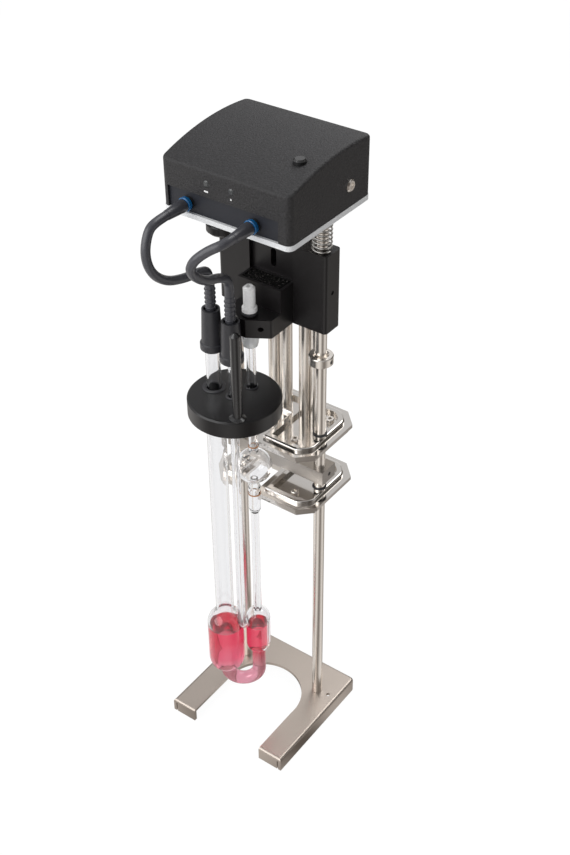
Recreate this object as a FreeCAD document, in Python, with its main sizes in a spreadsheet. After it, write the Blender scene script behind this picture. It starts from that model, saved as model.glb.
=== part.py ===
import FreeCAD, Part
import math
import os
import Sketcher

# Capillary viscometer on a two-post stand. Millimetres, +Z up, the front towards -Y.
# The origin is on the table, under the middle of the stand's bounding box.

doc = FreeCAD.newDocument("CapillaryViscometer")
sheet = doc.addObject("Spreadsheet::Sheet", "Sizes")

DRIVING_SIZES = {
    # Foot, bent from one sheet
    "foot_width": 105.8, "foot_front": -55.5, "foot_rear": 47.3, "foot_height": 11.6,
    "foot_sheet": 2.6, "leg_width": 21.1, "foot_arc_bulge": 0.2, "foot_arc_y": -8.5,
    "foot_corner": 4.0, "foot_bend": 2.4, "foot_slit": 1.0, "vent_hole": 1.6,
    "vent_hole_x": 45.0, "vent_hole_y": 20.1,
    # Posts and what is clamped on them
    "post_x": 34.6, "post_y": 19.5, "post_radius": 4.0, "post_past": 4.8, "post_thread": 2.0,
    "post_thread_depth": 12.0, "screw_head": 3.5, "screw_head_height": 2.6,
    "nut_radius": 6.4, "nut_height": 3.6, "hex_socket": 1.5, "hex_socket_depth": 1.4,
    "collar_z": 330.0, "collar_height": 6.5, "collar_radius": 8.5, "collar_mouth": 5.6,
    "collar_mouth_depth": 1.4, "grub_radius": 1.5, "running_gap": 0.06, "fit_gap": 0.1,
    "slide_gap": 0.15, "seat_gap": 0.3, "ring_lift": 4.8, "ring_section": 1.1,
    "ring_height": 1.4,
    # Head: base plate and cover
    "base_z": 440.0, "base_thick": 3.4, "head_width": 96.0, "head_front": -32.6,
    "head_rear": 52.9, "head_corner": 4.5, "cover_front_height": 31.6,
    "cover_rear_height": 39.0, "cover_crown": 185.0, "cover_wall": 2.5,
    "cover_front_wall": 3.4, "cover_edge": 2.4, "cover_inset": 0.3, "head_travel": 10.0,
    "recess_left": -43.2, "recess_right": 39.0, "recess_height": 14.1,
    "recess_depth": 1.5, "panel_thick": 1.2,
    "mark_rise": 17.6, "mark_height": 1.0, "mark_width": 3.0, "mark_raise": 0.2,
    "side_screw_y": 29.3, "side_screw_rise": 14.4, "side_screw_radius": 4.0,
    "bracket_sheet": 2.0, "bracket_depth": 8.0, "bracket_height": 20.0,
    # Head: controls and fittings
    "fitting_left_x": -28.4, "fitting_right_x": 21.0, "fitting_rise": 6.1,
    "fitting_radius": 4.3, "fitting_barrel": 5.0, "fitting_length": 16.0,
    "collet_radius": 4.7, "collet_flange": 2.6, "collet_travel": 0.8,
    "collet_sleeve": 3.6, "collet_sleeve_length": 7.0,
    "boot_root": 4.2, "boot_tip": 3.2, "boot_length": 15.4,
    "button_x": 34.0, "button_y": -3.5, "button_radius": 4.1, "button_rise": 2.577984,
    "button_flange": 5.3, "button_length": 8.4, "button_travel": 1.5,
    "button_stem": 1.8, "button_stem_length": 3.8,
    "lamp_left_x": -13.2, "lamp_right_x": 5.3, "lamp_rise": 23.0, "lamp_radius": 2.1,
    "lamp_dome": 0.6,
    "knob_x": -10.0, "knob_y": -22.5, "knob_radius": 10.0, "knob_height": 7.7,
    "knob_stud": 2.5, "knob_stud_length": 9.0, "knob_nut": 4.6, "knob_nut_height": 6.0,
    # Head: inside
    "board_rise": 18.6, "board_thick": 1.6, "board_width": 66.0, "board_depth": 24.0,
    "board_x": 7.0, "board_y": -4.0, "standoff_radius": 2.5, "board_hole_inset": 4.0,
    "switch_side": 6.0, "pump_radius": 8.0, "pump_length": 30.0, "pump_x": -15.0,
    "pump_y": 4.0, "pump_head": 8.6, "pump_head_length": 9.0, "valve_width": 12.0,
    "valve_depth": 16.0, "valve_height": 14.0, "valve_x": -41.0, "valve_y": -12.0,
    # Holder block clamped on the posts
    "block_z": 357.8, "block_height": 56.4, "block_width": 85.6, "block_front": 7.0,
    "block_rear": 9.3, "block_corner": 2.6, "channel_width": 34.2, "channel_depth": 3.0,
    "bush_radius": 5.6, "spring_radius": 6.0, "spring_wire": 0.55, "spring_turns": 8.5,
    "slot_width": 4.2, "slot_length": 13.0, "slot_rise": 35.2, "slot_depth": 6.0,
    "clamp_screw_rise": 28.2,
    # Nose on the block
    "nose_width": 34.0, "slab_height": 13.2, "slab_shoulder": -10.5, "slab_tip": -19.2,
    "slab_tip_half": 2.6, "tower_front": -0.5, "tower_height": 17.0, "tower_wall": 1.8,
    "foam_height": 16.6, "nose_screw_x": 11.0, "nose_screw_rise": 6.6,
    # Glass: the three tubes and their bulbs
    "fill_x": -19.0, "fill_y": -26.5, "fill_neck": 5.0, "fill_radius": 6.75,
    "fill_neck_z": 298.0, "fill_top": 370.0, "tank_radius": 13.8, "tank_low": 60.0,
    "tank_shoulder": 96.0, "tank_shoulder_arc": 12.0, "tank_neck": 9.0, "tank_top": 112.0,
    "tube_x": 0.7, "tube_y": -11.7, "tube_radius": 3.3, "tube_reach": 4.2,
    "fine_radius": 3.0, "ball_z": 248.1, "ball_radius": 13.0, "pear_radius": 4.4,
    "pear_bottom": 205.5, "pear_low": 209.5, "pear_high": 229.0, "pear_top": 233.0,
    "pear_arc": 9.0, "bulb_radius": 9.25, "bulb_low": 74.0, "bulb_high": 100.0,
    "vent_x": -2.5, "vent_y": -27.5, "vent_radius": 3.0, "vent_top": 367.0,
    "elbow_radius": 6.0, "elbow_z": 106.0, "bend_z": 45.0, "bend_tube": 5.25,
    "glass_wall": 1.2, "bore_radius": 1.2, "film_gap": 0.15, "liquid_level": 94.0,
    "liquid_room": 20.0, "liquid_length": 46.0, "liquid_width": 48.0,
    "ring_mark_z": 223.0, "ring_mark_height": 0.9, "top_mark_z": 265.0, "mark_film": 0.3,
    # What holds and closes the glass
    "disc_x": -2.5, "disc_y": -26.0, "disc_radius": 31.5, "disc_z": 302.0,
    "disc_height": 13.0, "disc_edge": 1.0, "fill_grommet": 8.0, "tube_grommet": 4.8,
    "vent_grommet": 5.0, "grommet_lift": 0.8,
    "rod_x": 15.0, "rod_y": -45.5, "rod_radius": 3.3, "rod_top": 380.0,
    "rod_collar": 5.5, "rod_collar_height": 1.8, "rod_seat": 304.0,
    "plug_radius": 3.95, "plug_flange": 5.0, "plug_flange_height": 3.5,
    "plug_height": 18.0, "plug_stem": 3.3, "plug_stem_length": 8.0, "seal_height": 3.0,
    "seal_radius": 5.25, "cup_radius": 6.1, "cup_low_radius": 5.0, "cup_height": 9.8,
    "fill_cap_z": 345.5, "vent_cap_z": 342.5, "cap_height": 30.5, "cap_rim": 8.0,
    "cap_rim_height": 6.0, "cap_waist": 7.0, "cap_top": 6.0, "cap_recess": 2.0,
    "cap_recess_radius": 4.8, "sleeve_radius": 3.2, "sleeve_rib": 3.7,
    "sleeve_length": 22.0, "sleeve_sink": 4.0, "sleeve_pitch": 3.2,
    "hose_radius": 3.0,
    # Light-barrier pods and the bar between them
    "pod_half_width": 43.5, "pod_front": -7.0, "pod_rear": 57.5, "pod_chamfer": 11.0,
    "pod_sheet": 1.4, "pod_pan": 4.0, "pod_pan_inset": 2.6, "pod_bead_inset": 4.8,
    "pod_bead_width": 4.4, "pod_bead_height": 3.0, "pod_bead_corner": 9.0, "upper_pod_z": 263.2,
    "pod_spacing": 46.8, "notch_left": -19.0, "notch_right": -2.7, "notch_end": 25.4,
    "pod_screw_head": 3.0, "pod_screw_height": 3.2, "pod_screw_x": 22.0,
    "pod_screw_left_x": -31.2, "pod_screw_left_y": 10.0, "pod_screw_y": 7.5, "pod_screw_rear_x": 29.0,
    "pod_screw_rear_y": 40.0,
    "bar_half_width": 41.5, "bar_front": 6.5, "bar_rear": 9.0, "bar_z": 232.0,
    "bar_height": 11.0, "bar_screw_y": 21.5,
    "sensor_tube_radius": 4.6, "sensor_tube_wall": 0.8, "sensor_tube_inner_x": 8.2,
    "sensor_tube_outer_x": 17.8, "sensor_tube_y": 39.5, "sensor_tube_past": 1.2,
}


class Size:
    """A size and the text of the expression that gives it in the document."""

    def __init__(self, text, value):
        self.text = text
        self.value = value

    def __add__(self, other):
        return joined(self, "+", other, self.value + number(other))

    def __radd__(self, other):
        return joined(other, "+", self, number(other) + self.value)

    def __sub__(self, other):
        return joined(self, "-", other, self.value - number(other))

    def __rsub__(self, other):
        return joined(other, "-", self, number(other) - self.value)

    def __mul__(self, other):
        return joined(self, "*", other, self.value * number(other))

    def __rmul__(self, other):
        return joined(other, "*", self, number(other) * self.value)

    def __truediv__(self, other):
        return joined(self, "/", other, self.value / number(other))

    def __neg__(self):
        return Size("(0 - " + self.text + ")", -self.value)


def number(size):
    return size.value if isinstance(size, Size) else size


def text(size):
    return size.text if isinstance(size, Size) else repr(float(size))


def joined(left, sign, right, value):
    return Size("(%s %s %s)" % (text(left), sign, text(right)), value)


def root(size):
    return Size("sqrt(%s)" % size.text, math.sqrt(size.value))


class Sizes:
    """The sheet's sizes by name."""


s = Sizes()
for row, (alias, value) in enumerate(DRIVING_SIZES.items(), start=1):
    sheet.set("A%d" % row, alias.replace("_", " "))
    sheet.set("B%d" % row, str(value))
    sheet.setAlias("B%d" % row, alias)
    setattr(s, alias, Size("Sizes." + alias, value))
doc.recompute()

kept = {}


def keep(node, made):
    """Names the finished piece: its label is the node's name."""
    made.Label = node
    kept[node] = made
    return made


# Binding properties, places and sketches to the sheet

def bind(thing, name, size):
    if isinstance(size, Size):
        thing.setExpression(name, size.text)
    else:
        setattr(thing, name, size)


def place(thing, x=0, y=0, z=0, turn=None):
    """Puts a thing at x, y, z. turn is (axis, degrees)."""
    rotation = FreeCAD.Rotation(FreeCAD.Vector(*turn[0]), turn[1]) if turn else FreeCAD.Rotation()
    base = FreeCAD.Vector(number(x), number(y), number(z))
    thing.Placement = FreeCAD.Placement(base, rotation)
    for axis, size in zip("xyz", (x, y, z)):
        if isinstance(size, Size):
            thing.setExpression("Placement.Base." + axis, size.text)
    return thing


ALONG_X = ((0, 1, 0), 90)
ALONG_MINUS_Y = ((1, 0, 0), 90)
ALONG_Y = ((1, 0, 0), -90)


def box(x, y, z, length, width, height):
    made = doc.addObject("Part::Box", "Block")
    bind(made, "Length", length)
    bind(made, "Width", width)
    bind(made, "Height", height)
    return place(made, x, y, z)


def cylinder(radius, height, x=0, y=0, z=0, turn=None):
    made = doc.addObject("Part::Cylinder", "Round")
    bind(made, "Radius", radius)
    bind(made, "Height", height)
    return place(made, x, y, z, turn)


def sphere(radius, x, y, z):
    made = doc.addObject("Part::Sphere", "Ball")
    bind(made, "Radius", radius)
    return place(made, x, y, z)


def fuse(*things):
    made = doc.addObject("Part::MultiFuse", "Joined")
    made.Shapes = list(things)
    return made


def cut(base, *tools):
    made = doc.addObject("Part::Cut", "Cleared")
    made.Base = base
    made.Tool = tools[0] if len(tools) == 1 else fuse(*tools)
    return made


def group(*things):
    """Separate solids in one node."""
    made = doc.addObject("Part::Compound", "Set")
    made.Links = list(things)
    return made


def origin_plane(body, role):
    return next(f for f in body.Origin.OriginFeatures if f.Role == role)


def new_sketch(body, role):
    made = body.newObject("Sketcher::SketchObject", "Outline")
    made.AttachmentSupport = (origin_plane(body, role), [""])
    made.MapMode = "FlatFace"
    return made


def pin_point(sketch, line, end, x, y):
    """Holds one end of a line at x, y with constraints that read the sheet."""
    for kind, size, axis in (("DistanceX", x, -2), ("DistanceY", y, -1)):
        if not isinstance(size, Size) and size == 0:
            sketch.addConstraint(Sketcher.Constraint("PointOnObject", line, end, axis))
            continue
        held = sketch.addConstraint(Sketcher.Constraint(kind, -1, 1, line, end, number(size)))
        if isinstance(size, Size):
            sketch.setExpression("Constraints[%d]" % held, size.text)


def arc_between(start, end, radius, side):
    """The arc from start to end that bulges to that side of the way, with its far-side centre."""
    chord = end - start
    half = chord.Length / 2
    out = FreeCAD.Vector(-chord.y, chord.x, 0).normalize()
    if side.startswith("right"):
        out = out * -1
    rise = math.sqrt(max(radius * radius - half * half, 0.0))
    centre = (start + end) / 2 + out * (rise if side.endswith("large") else -rise)
    return Part.Arc(start, centre + out * radius, end)


def outline(sketch, corners):
    """A closed outline. A corner is (x, y), or (x, y, radius, side) where an arc leads to it."""
    points = [FreeCAD.Vector(number(c[0]), number(c[1]), 0) for c in corners]
    lines = []
    for index, corner in enumerate(corners):
        start, end = points[index - 1], points[index]
        if len(corner) == 2:
            lines.append((sketch.addGeometry(Part.LineSegment(start, end), False), 1, 2, None))
            continue
        arc = sketch.addGeometry(arc_between(start, end, number(corner[2]), corner[3]), False)
        ends = (1, 2) if corner[3].startswith("right") else (2, 1)
        lines.append((arc, *ends, corner[2]))
    for index, (line, head, _, _) in enumerate(lines):
        before, _, before_tail, _ = lines[index - 1]
        sketch.addConstraint(Sketcher.Constraint("Coincident", before, before_tail, line, head))
    for (line, _, tail, radius), corner in zip(lines, corners):
        pin_point(sketch, line, tail, corner[0], corner[1])
        if radius is not None:
            held = sketch.addConstraint(Sketcher.Constraint("Radius", line, number(radius)))
            if isinstance(radius, Size):
                sketch.setExpression("Constraints[%d]" % held, radius.text)


def hole_circle(sketch, x, y, radius):
    circle = Part.Circle(FreeCAD.Vector(number(x), number(y), 0), FreeCAD.Vector(0, 0, 1), number(radius))
    line = sketch.addGeometry(circle, False)
    pin_point(sketch, line, 3, x, y)
    held = sketch.addConstraint(Sketcher.Constraint("Radius", line, number(radius)))
    if isinstance(radius, Size):
        sketch.setExpression("Constraints[%d]" % held, radius.text)


def new_body(name, x=0, y=0, z=0, turn=None):
    return place(doc.addObject("PartDesign::Body", name), x, y, z, turn)


def plate(name, corners, height, z, holes=()):
    """A flat piece: an outline with round holes, padded upwards from z."""
    body = new_body(name, z=z)
    sketch = new_sketch(body, "XY_Plane")
    outline(sketch, corners)
    for x, y, radius in holes:
        hole_circle(sketch, x, y, radius)
    pad = body.newObject("PartDesign::Pad", "Pad")
    pad.Profile = sketch
    bind(pad, "Length", height)
    return body


def turned(name, profile, x=0, y=0, z=0, turn=None):
    """A turned piece: the profile is its half section as (radius, height) round its own axis."""
    body = new_body(name, x, y, z, turn)
    sketch = new_sketch(body, "XZ_Plane")
    outline(sketch, profile)
    revolved = body.newObject("PartDesign::Revolution", "Turned")
    revolved.Profile = sketch
    revolved.ReferenceAxis = (sketch, ["V_Axis"])
    revolved.Angle = 360.0
    return body


def round_edges(body, radius, wanted):
    """Fillets the edges of the body's tip for which wanted(edge) is true."""
    doc.recompute()
    tip = body.Tip
    names = ["Edge%d" % i for i, edge in enumerate(tip.Shape.Edges, start=1) if wanted(edge)]
    fillet = body.newObject("PartDesign::Fillet", "Rounded")
    fillet.Base = (tip, names)
    bind(fillet, "Radius", radius)
    body.Tip = fillet
    doc.recompute()
    return body


def is_upright(edge):
    ends = edge.Vertexes
    if len(ends) != 2:
        return False
    along = ends[1].Point - ends[0].Point
    return abs(along.x) < 1e-6 and abs(along.y) < 1e-6


def circle_at(radius, height):
    """A test for the round edges of that radius at that height in the body's own frame."""
    def wanted(edge):
        curve = edge.Curve
        return (hasattr(curve, "Radius") and abs(curve.Radius - number(radius)) < 1e-4
                and abs(edge.BoundBox.ZMin - number(height)) < 1e-4
                and abs(edge.BoundBox.ZMax - number(height)) < 1e-4)
    return wanted


def socket_screw(head, head_height, shank, length, x, y, z, turn=None):
    """A socket screw standing on z, its shank going down."""
    hex_radius = s.hex_socket
    blank = turned("Screw", [
        (0, -length), (shank, -length), (shank, 0), (head, 0),
        (head, head_height - 0.4), (head - 0.4, head_height), (0, head_height)], x, y, z, turn)
    socket = doc.addObject("Part::Prism", "HexSocket")
    socket.Polygon = 6
    bind(socket, "Circumradius", hex_radius)
    bind(socket, "Height", head_height)
    return blank, socket


def socket_screws(places, head, head_height, shank, length, z):
    """Upright socket screws, one at each (x, y), standing on z."""
    made = []
    for x, y in places:
        blank, socket = socket_screw(head, head_height, shank, length, x, y, z)
        place(socket, x, y, z + head_height - s.hex_socket_depth)
        made.append(cut(blank, socket))
    return made


# Heights that several pieces share

base_top = s.base_z + s.base_thick
post_top = base_top + s.post_past
sensor_tube_top = base_top + s.sensor_tube_past
recess_high = base_top + s.recess_height
mark_z = base_top + s.mark_rise
side_screw_z = base_top + s.side_screw_rise
fitting_z = base_top + s.fitting_rise
lamp_z = base_top + s.lamp_rise
board_z = base_top + s.board_rise
slot_z = s.block_z + s.slot_rise
clamp_screw_z = s.block_z + s.clamp_screw_rise
nose_screw_z = s.block_z + s.nose_screw_rise
tube_top = s.block_z + s.tube_reach


# Foot, posts and their fasteners

half_foot = s.foot_width / 2
leg_inner = half_foot - s.leg_width
arc_radius = leg_inner + s.foot_arc_bulge
arc_end_y = s.foot_arc_y - root(arc_radius * arc_radius - leg_inner * leg_inner)
post_places = ((-s.post_x, s.post_y), (s.post_x, s.post_y))


def make_foot():
    body = new_body("FootBody")
    plan = new_sketch(body, "XY_Plane")
    outline(plan, [
        (-half_foot, s.foot_front), (-leg_inner, s.foot_front), (-leg_inner, arc_end_y),
        (leg_inner, arc_end_y, arc_radius, "left large"), (leg_inner, s.foot_front),
        (half_foot, s.foot_front), (half_foot, s.foot_rear), (-half_foot, s.foot_rear)])
    pad = body.newObject("PartDesign::Pad", "Pad")
    pad.Profile = plan
    bind(pad, "Length", s.foot_height)
    rear = s.foot_rear.value
    round_edges(body, s.foot_corner,
                lambda e: is_upright(e) and abs(e.Vertexes[0].Y - rear) < 1e-6)
    top, front, side = s.foot_height.value, s.foot_front.value, half_foot.value

    def on_outer_rim(edge):
        box_of = edge.BoundBox
        outside = (abs(box_of.YMin - front) < 1e-4 and box_of.YLength < 1e-4
                   or box_of.XMax > side - s.foot_corner.value - 1e-4 and box_of.XMin > 0
                   and box_of.YMax > front + 1e-4 and abs(box_of.XMin - leg_inner.value) > 1e-4
                   or box_of.XMin < -side + s.foot_corner.value + 1e-4 and box_of.XMax < 0
                   and box_of.YMax > front + 1e-4 and abs(box_of.XMax + leg_inner.value) > 1e-4
                   or box_of.YMin > rear - 1e-4)
        return abs(box_of.ZMin - top) < 1e-4 and outside and box_of.YLength < 2 * rear + 90
    round_edges(body, s.foot_bend, on_outer_rim)
    hollow = new_sketch(body, "XY_Plane")
    inset = s.foot_sheet
    outline(hollow, [
        (inset - half_foot, s.foot_front + inset), (half_foot - inset, s.foot_front + inset),
        (half_foot - inset, s.foot_rear - inset), (inset - half_foot, s.foot_rear - inset)])
    pocket = body.newObject("PartDesign::Pocket", "Underside")
    pocket.Profile = hollow
    bind(pocket, "Length", s.foot_height - s.foot_sheet)
    pocket.Reversed = True
    body.Tip = pocket
    slits = [box(x, s.foot_front - 1, 0, s.foot_slit, s.foot_sheet + 1.02, s.foot_height - s.foot_sheet)
             for x in (s.foot_sheet - half_foot, half_foot - s.foot_sheet - s.foot_slit)]
    screw_holes = [cylinder(s.post_thread + s.fit_gap, s.foot_height, x, y, 0)
                   for x, y in post_places]
    vents = [cylinder(s.vent_hole, s.foot_height, x, s.vent_hole_y, 0)
             for x in (-s.vent_hole_x, s.vent_hole_x)]
    keep("foot_plate", cut(body, *slits, *screw_holes, *vents))


def make_post(node, x):
    length = post_top - s.foot_height
    thread, depth = s.post_thread + s.fit_gap / 2, s.post_thread_depth
    keep(node, turned("Post", [
        (thread, 0), (s.post_radius - 0.4, 0), (s.post_radius, 0.4),
        (s.post_radius, length - 0.6), (s.post_radius - 0.6, length), (0, length),
        (0, depth + 1), (thread, depth)], x, s.post_y, s.foot_height))


def make_post_screws():
    under = s.foot_height - s.foot_sheet
    screws = [
        turned("FootScrew", [
            (0, -s.screw_head_height), (s.screw_head, -s.screw_head_height),
            (s.screw_head, 0), (s.post_thread, 0), (s.post_thread, 10), (0, 10)], x, y, under)
        for x, y in post_places]
    bore = s.post_radius + s.running_gap
    nuts = [
        turned("PostNut", [
            (bore, 0), (s.nut_radius, 0), (s.nut_radius, s.nut_height - 0.6),
            (s.nut_radius - 0.6, s.nut_height), (bore, s.nut_height)],
            x, y, s.base_z + s.base_thick + s.seat_gap) for x, y in post_places]
    keep("post_fasteners", group(*screws, *nuts))


def make_collar(side, x):
    grub_z = s.collar_z + s.collar_height / 2
    bore = s.post_radius + s.running_gap
    ring = turned("Collar", [
        (bore, 0), (s.collar_radius - 0.5, 0), (s.collar_radius, 0.5),
        (s.collar_radius, s.collar_height - 0.5), (s.collar_radius - 0.5, s.collar_height),
        (s.collar_mouth, s.collar_height), (bore, s.collar_height - s.collar_mouth_depth)],
        x, s.post_y, s.collar_z)
    outward = 1 if x.value > 0 else -1
    start = x + s.post_radius if outward > 0 else x - s.collar_radius - 1
    drilled = cylinder(s.grub_radius, s.collar_radius - s.post_radius + 1,
                       start, s.post_y, grub_z, ALONG_X)
    keep("stop_collar_" + side, cut(ring, drilled))
    grub_start = x + bore if outward > 0 else x - s.collar_radius + 0.6
    return cylinder(s.grub_radius - 0.05, s.collar_radius - bore - 0.6,
                    grub_start, s.post_y, grub_z, ALONG_X)


def post_rings(floor):
    """The rubber rings on the posts above a pod."""
    bore, outside = s.post_radius + s.running_gap, s.post_radius + s.ring_section
    return [
        turned("PostRing", [
            (bore, 0), (outside - 0.5, 0), (outside, 0.5), (outside, s.ring_height - 0.5),
            (outside - 0.5, s.ring_height), (bore, s.ring_height)], x, y, floor + s.ring_lift)
        for x, y in post_places]


make_foot()
make_post("left_post", -s.post_x)
make_post("right_post", s.post_x)
make_post_screws()
grub_screws = [make_collar("left", -s.post_x), make_collar("right", s.post_x)]


# Light-barrier pods, the bar between them and their cable tubes

def pod_outline(inset):
    """The pod's plan, moved in by inset all round, with the notch for the capillary."""
    half, front, rear = s.pod_half_width - inset, s.pod_front + inset, s.pod_rear - inset
    corner = s.pod_chamfer - inset * 0.586
    left, right, end = s.notch_left - inset, s.notch_right + inset, s.notch_end + inset
    return [
        (right, front), (half - corner, front), (half, front + corner), (half, rear - corner),
        (half - corner, rear), (corner - half, rear), (-half, rear - corner),
        (-half, front + corner), (corner - half, front), (left, front), (left, end),
        (right, end)]


sensor_tube_places = [(x, s.sensor_tube_y) for x in (
    -s.sensor_tube_outer_x, -s.sensor_tube_inner_x, s.sensor_tube_inner_x, s.sensor_tube_outer_x)]
pod_screw_places = [
    (s.pod_screw_x, s.pod_screw_y), (s.pod_screw_rear_x, s.pod_screw_rear_y),
    (s.pod_screw_left_x, s.pod_screw_left_y), (-s.pod_screw_rear_x, s.pod_screw_rear_y)]


def make_pod(level, z, cable_holes):
    sheet_top = z + s.pod_sheet
    cover_top = sheet_top + s.pod_sheet
    nothing = s.pod_sheet * 0
    post_hole = s.post_radius + s.fit_gap
    posts = [(x, y, post_hole) for x, y in post_places]
    clearance = [(x, y, s.post_thread + s.fit_gap) for x, y in pod_screw_places]
    flange = plate("TrayFlange", pod_outline(nothing), s.pod_sheet, z)
    pan = plate("TrayPan", pod_outline(s.pod_pan_inset), s.pod_pan, z - s.pod_pan)
    pan_inside = plate("TrayInside", pod_outline(s.pod_pan_inset + s.pod_sheet),
                       s.pod_pan + s.pod_sheet, z - s.pod_pan + s.pod_sheet)
    pan_holes = [cylinder(post_hole, 3 * s.pod_pan, x, y, z - 2 * s.pod_pan)
                 for x, y in post_places]
    bosses = [cylinder(s.pod_screw_head, s.pod_pan, x, y, sheet_top - s.pod_pan)
              for x, y in pod_screw_places]
    boss_holes = [cylinder(s.post_thread + s.fit_gap / 2, 2 * s.pod_pan, x, y,
                           sheet_top - s.pod_pan + 0.6) for x, y in pod_screw_places]
    hollow_pan = cut(fuse(flange, pan), pan_inside)
    keep(level + "_pod_tray", cut(fuse(hollow_pan, *bosses), *pan_holes, *boss_holes))

    lid = plate("CoverSheet", pod_outline(nothing), s.pod_sheet, sheet_top,
                posts + clearance + [(x, y, s.sensor_tube_radius - s.sensor_tube_wall)
                                     for x, y in cable_holes])
    bead = plate("CoverBead", pod_outline(s.pod_bead_inset), s.pod_bead_height, cover_top)
    bead_top = s.pod_bead_height.value
    narrow_lobe = s.notch_left.value
    clear_of_notch = s.pod_half_width.value - 18

    def wide_corner(edge):
        x, y = edge.Vertexes[0].X, edge.Vertexes[0].Y
        return is_upright(edge) and abs(x) > clear_of_notch and (x > narrow_lobe or y > 30)
    round_edges(bead, s.pod_bead_corner, wide_corner)
    round_edges(bead, s.pod_bead_height * 0.55,
                lambda e: abs(e.BoundBox.ZMin - bead_top) < 1e-4 and not is_upright(e))
    inside = plate("BeadInside", pod_outline(s.pod_bead_inset + s.pod_bead_width),
                   s.pod_bead_height + 1, cover_top)
    round_edges(inside, s.pod_bead_corner - 2, wide_corner)
    beside_posts = [cylinder(post_hole, 9, x, y, cover_top) for x, y in post_places]
    keep(level + "_pod_cover", fuse(lid, cut(bead, inside, *beside_posts)))
    screws = socket_screws(
        pod_screw_places, s.pod_screw_head, s.pod_screw_height, s.post_thread, 4.6, cover_top)
    return cover_top, screws, post_rings(cover_top)


def make_clamp_bar():
    blank = box(-s.bar_half_width, s.post_y - s.bar_front, s.bar_z,
                2 * s.bar_half_width, s.bar_front + s.bar_rear, s.bar_height)
    bores = [cylinder(s.post_radius + s.running_gap, s.bar_height + 2, x, y, s.bar_z - 1)
             for x, y in post_places]
    middle = s.bar_z + s.bar_height / 2
    reach = s.bar_half_width - s.post_x
    drilled = [cylinder(s.grub_radius, reach + 1, x, s.bar_screw_y, middle, ALONG_X)
               for x in (s.post_x, -s.bar_half_width - 1)]
    keep("clamp_bar", cut(blank, *bores, *drilled))
    length = reach - s.post_radius - 0.6
    return [cylinder(s.grub_radius - 0.05, length, x, s.bar_screw_y, middle, ALONG_X)
            for x in (s.post_x + s.post_radius + s.running_gap, 0.5 - s.bar_half_width)]


upper_cover_top, upper_screws, upper_rings = make_pod(
    "upper", s.upper_pod_z, sensor_tube_places)
_, lower_screws, lower_rings = make_pod("lower", s.upper_pod_z - s.pod_spacing, [])
keep("pod_screws", group(*upper_screws, *lower_screws))
keep("post_rings", group(*upper_rings, *lower_rings))
grub_screws += make_clamp_bar()
for index, (tube_x, tube_y) in enumerate(sensor_tube_places, start=1):
    wall_inside = s.sensor_tube_radius - s.sensor_tube_wall
    tube_length = sensor_tube_top - upper_cover_top
    keep("sensor_tube_%d" % index, turned("SensorTube", [
        (wall_inside, 0), (s.sensor_tube_radius, 0), (s.sensor_tube_radius, tube_length),
        (wall_inside, tube_length)], tube_x, tube_y, upper_cover_top))


# Head: base plate, cover and what is in and on them

half_head = s.head_width / 2
cover_front = s.head_front + s.cover_inset
panel_face = cover_front + s.recess_depth
wall_back = cover_front + s.cover_front_wall


def head_plan(inset):
    return [(inset - half_head, s.head_front + inset), (half_head - inset, s.head_front + inset),
            (half_head - inset, s.head_rear - inset), (inset - half_head, s.head_rear - inset)]


def make_base_plate():
    holes = [(x, y, s.post_radius + s.slide_gap) for x, y in post_places]
    holes += [(x, y, s.sensor_tube_radius + s.slide_gap) for x, y in sensor_tube_places]
    holes += [(s.knob_x, s.knob_y, s.knob_stud + s.fit_gap)]
    body = plate("BasePlate", head_plan(s.cover_inset * 0), s.base_thick, s.base_z, holes)
    round_edges(body, s.head_corner, is_upright_corner)
    keep("head_base_plate", body)


def is_upright_corner(edge):
    if not is_upright(edge):
        return False
    x = edge.Vertexes[0].X
    return abs(x) > half_head.value - 2 * s.cover_wall.value


def crown_height(y):
    """The height of the cover's crown above a place along the head."""
    front, rear = cover_front, s.head_rear - s.cover_inset
    run, climb = rear - front, s.cover_rear_height - s.cover_front_height
    chord = root(run * run + climb * climb)
    depth = root(s.cover_crown * s.cover_crown - chord * chord / 4)
    centre_y = (front + rear) / 2 + depth * climb / chord
    centre_z = (base_top + (s.cover_front_height + s.cover_rear_height) / 2
                - depth * run / chord)
    return centre_z + root(s.cover_crown * s.cover_crown - (y - centre_y) * (y - centre_y))


button_top = crown_height(s.button_y) + s.button_rise
button_flange_z = button_top - s.button_length
button_stem_z = button_flange_z - s.button_stem_length


def side_profile(front, rear, low, drop, crown):
    """The head's side view in the YZ plane: upright ends and one shallow crown."""
    front_top = base_top + s.cover_front_height - drop
    rear_top = base_top + s.cover_rear_height - drop
    return [(front, low), (rear, low), (rear, rear_top), (front, front_top, crown, "right")]


def side_block(name, half, profile):
    body = new_body(name)
    sketch = new_sketch(body, "YZ_Plane")
    outline(sketch, profile)
    pad = body.newObject("PartDesign::Pad", "Pad")
    pad.Profile = sketch
    bind(pad, "Length", 2 * half)
    pad.Midplane = True
    return body


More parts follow.
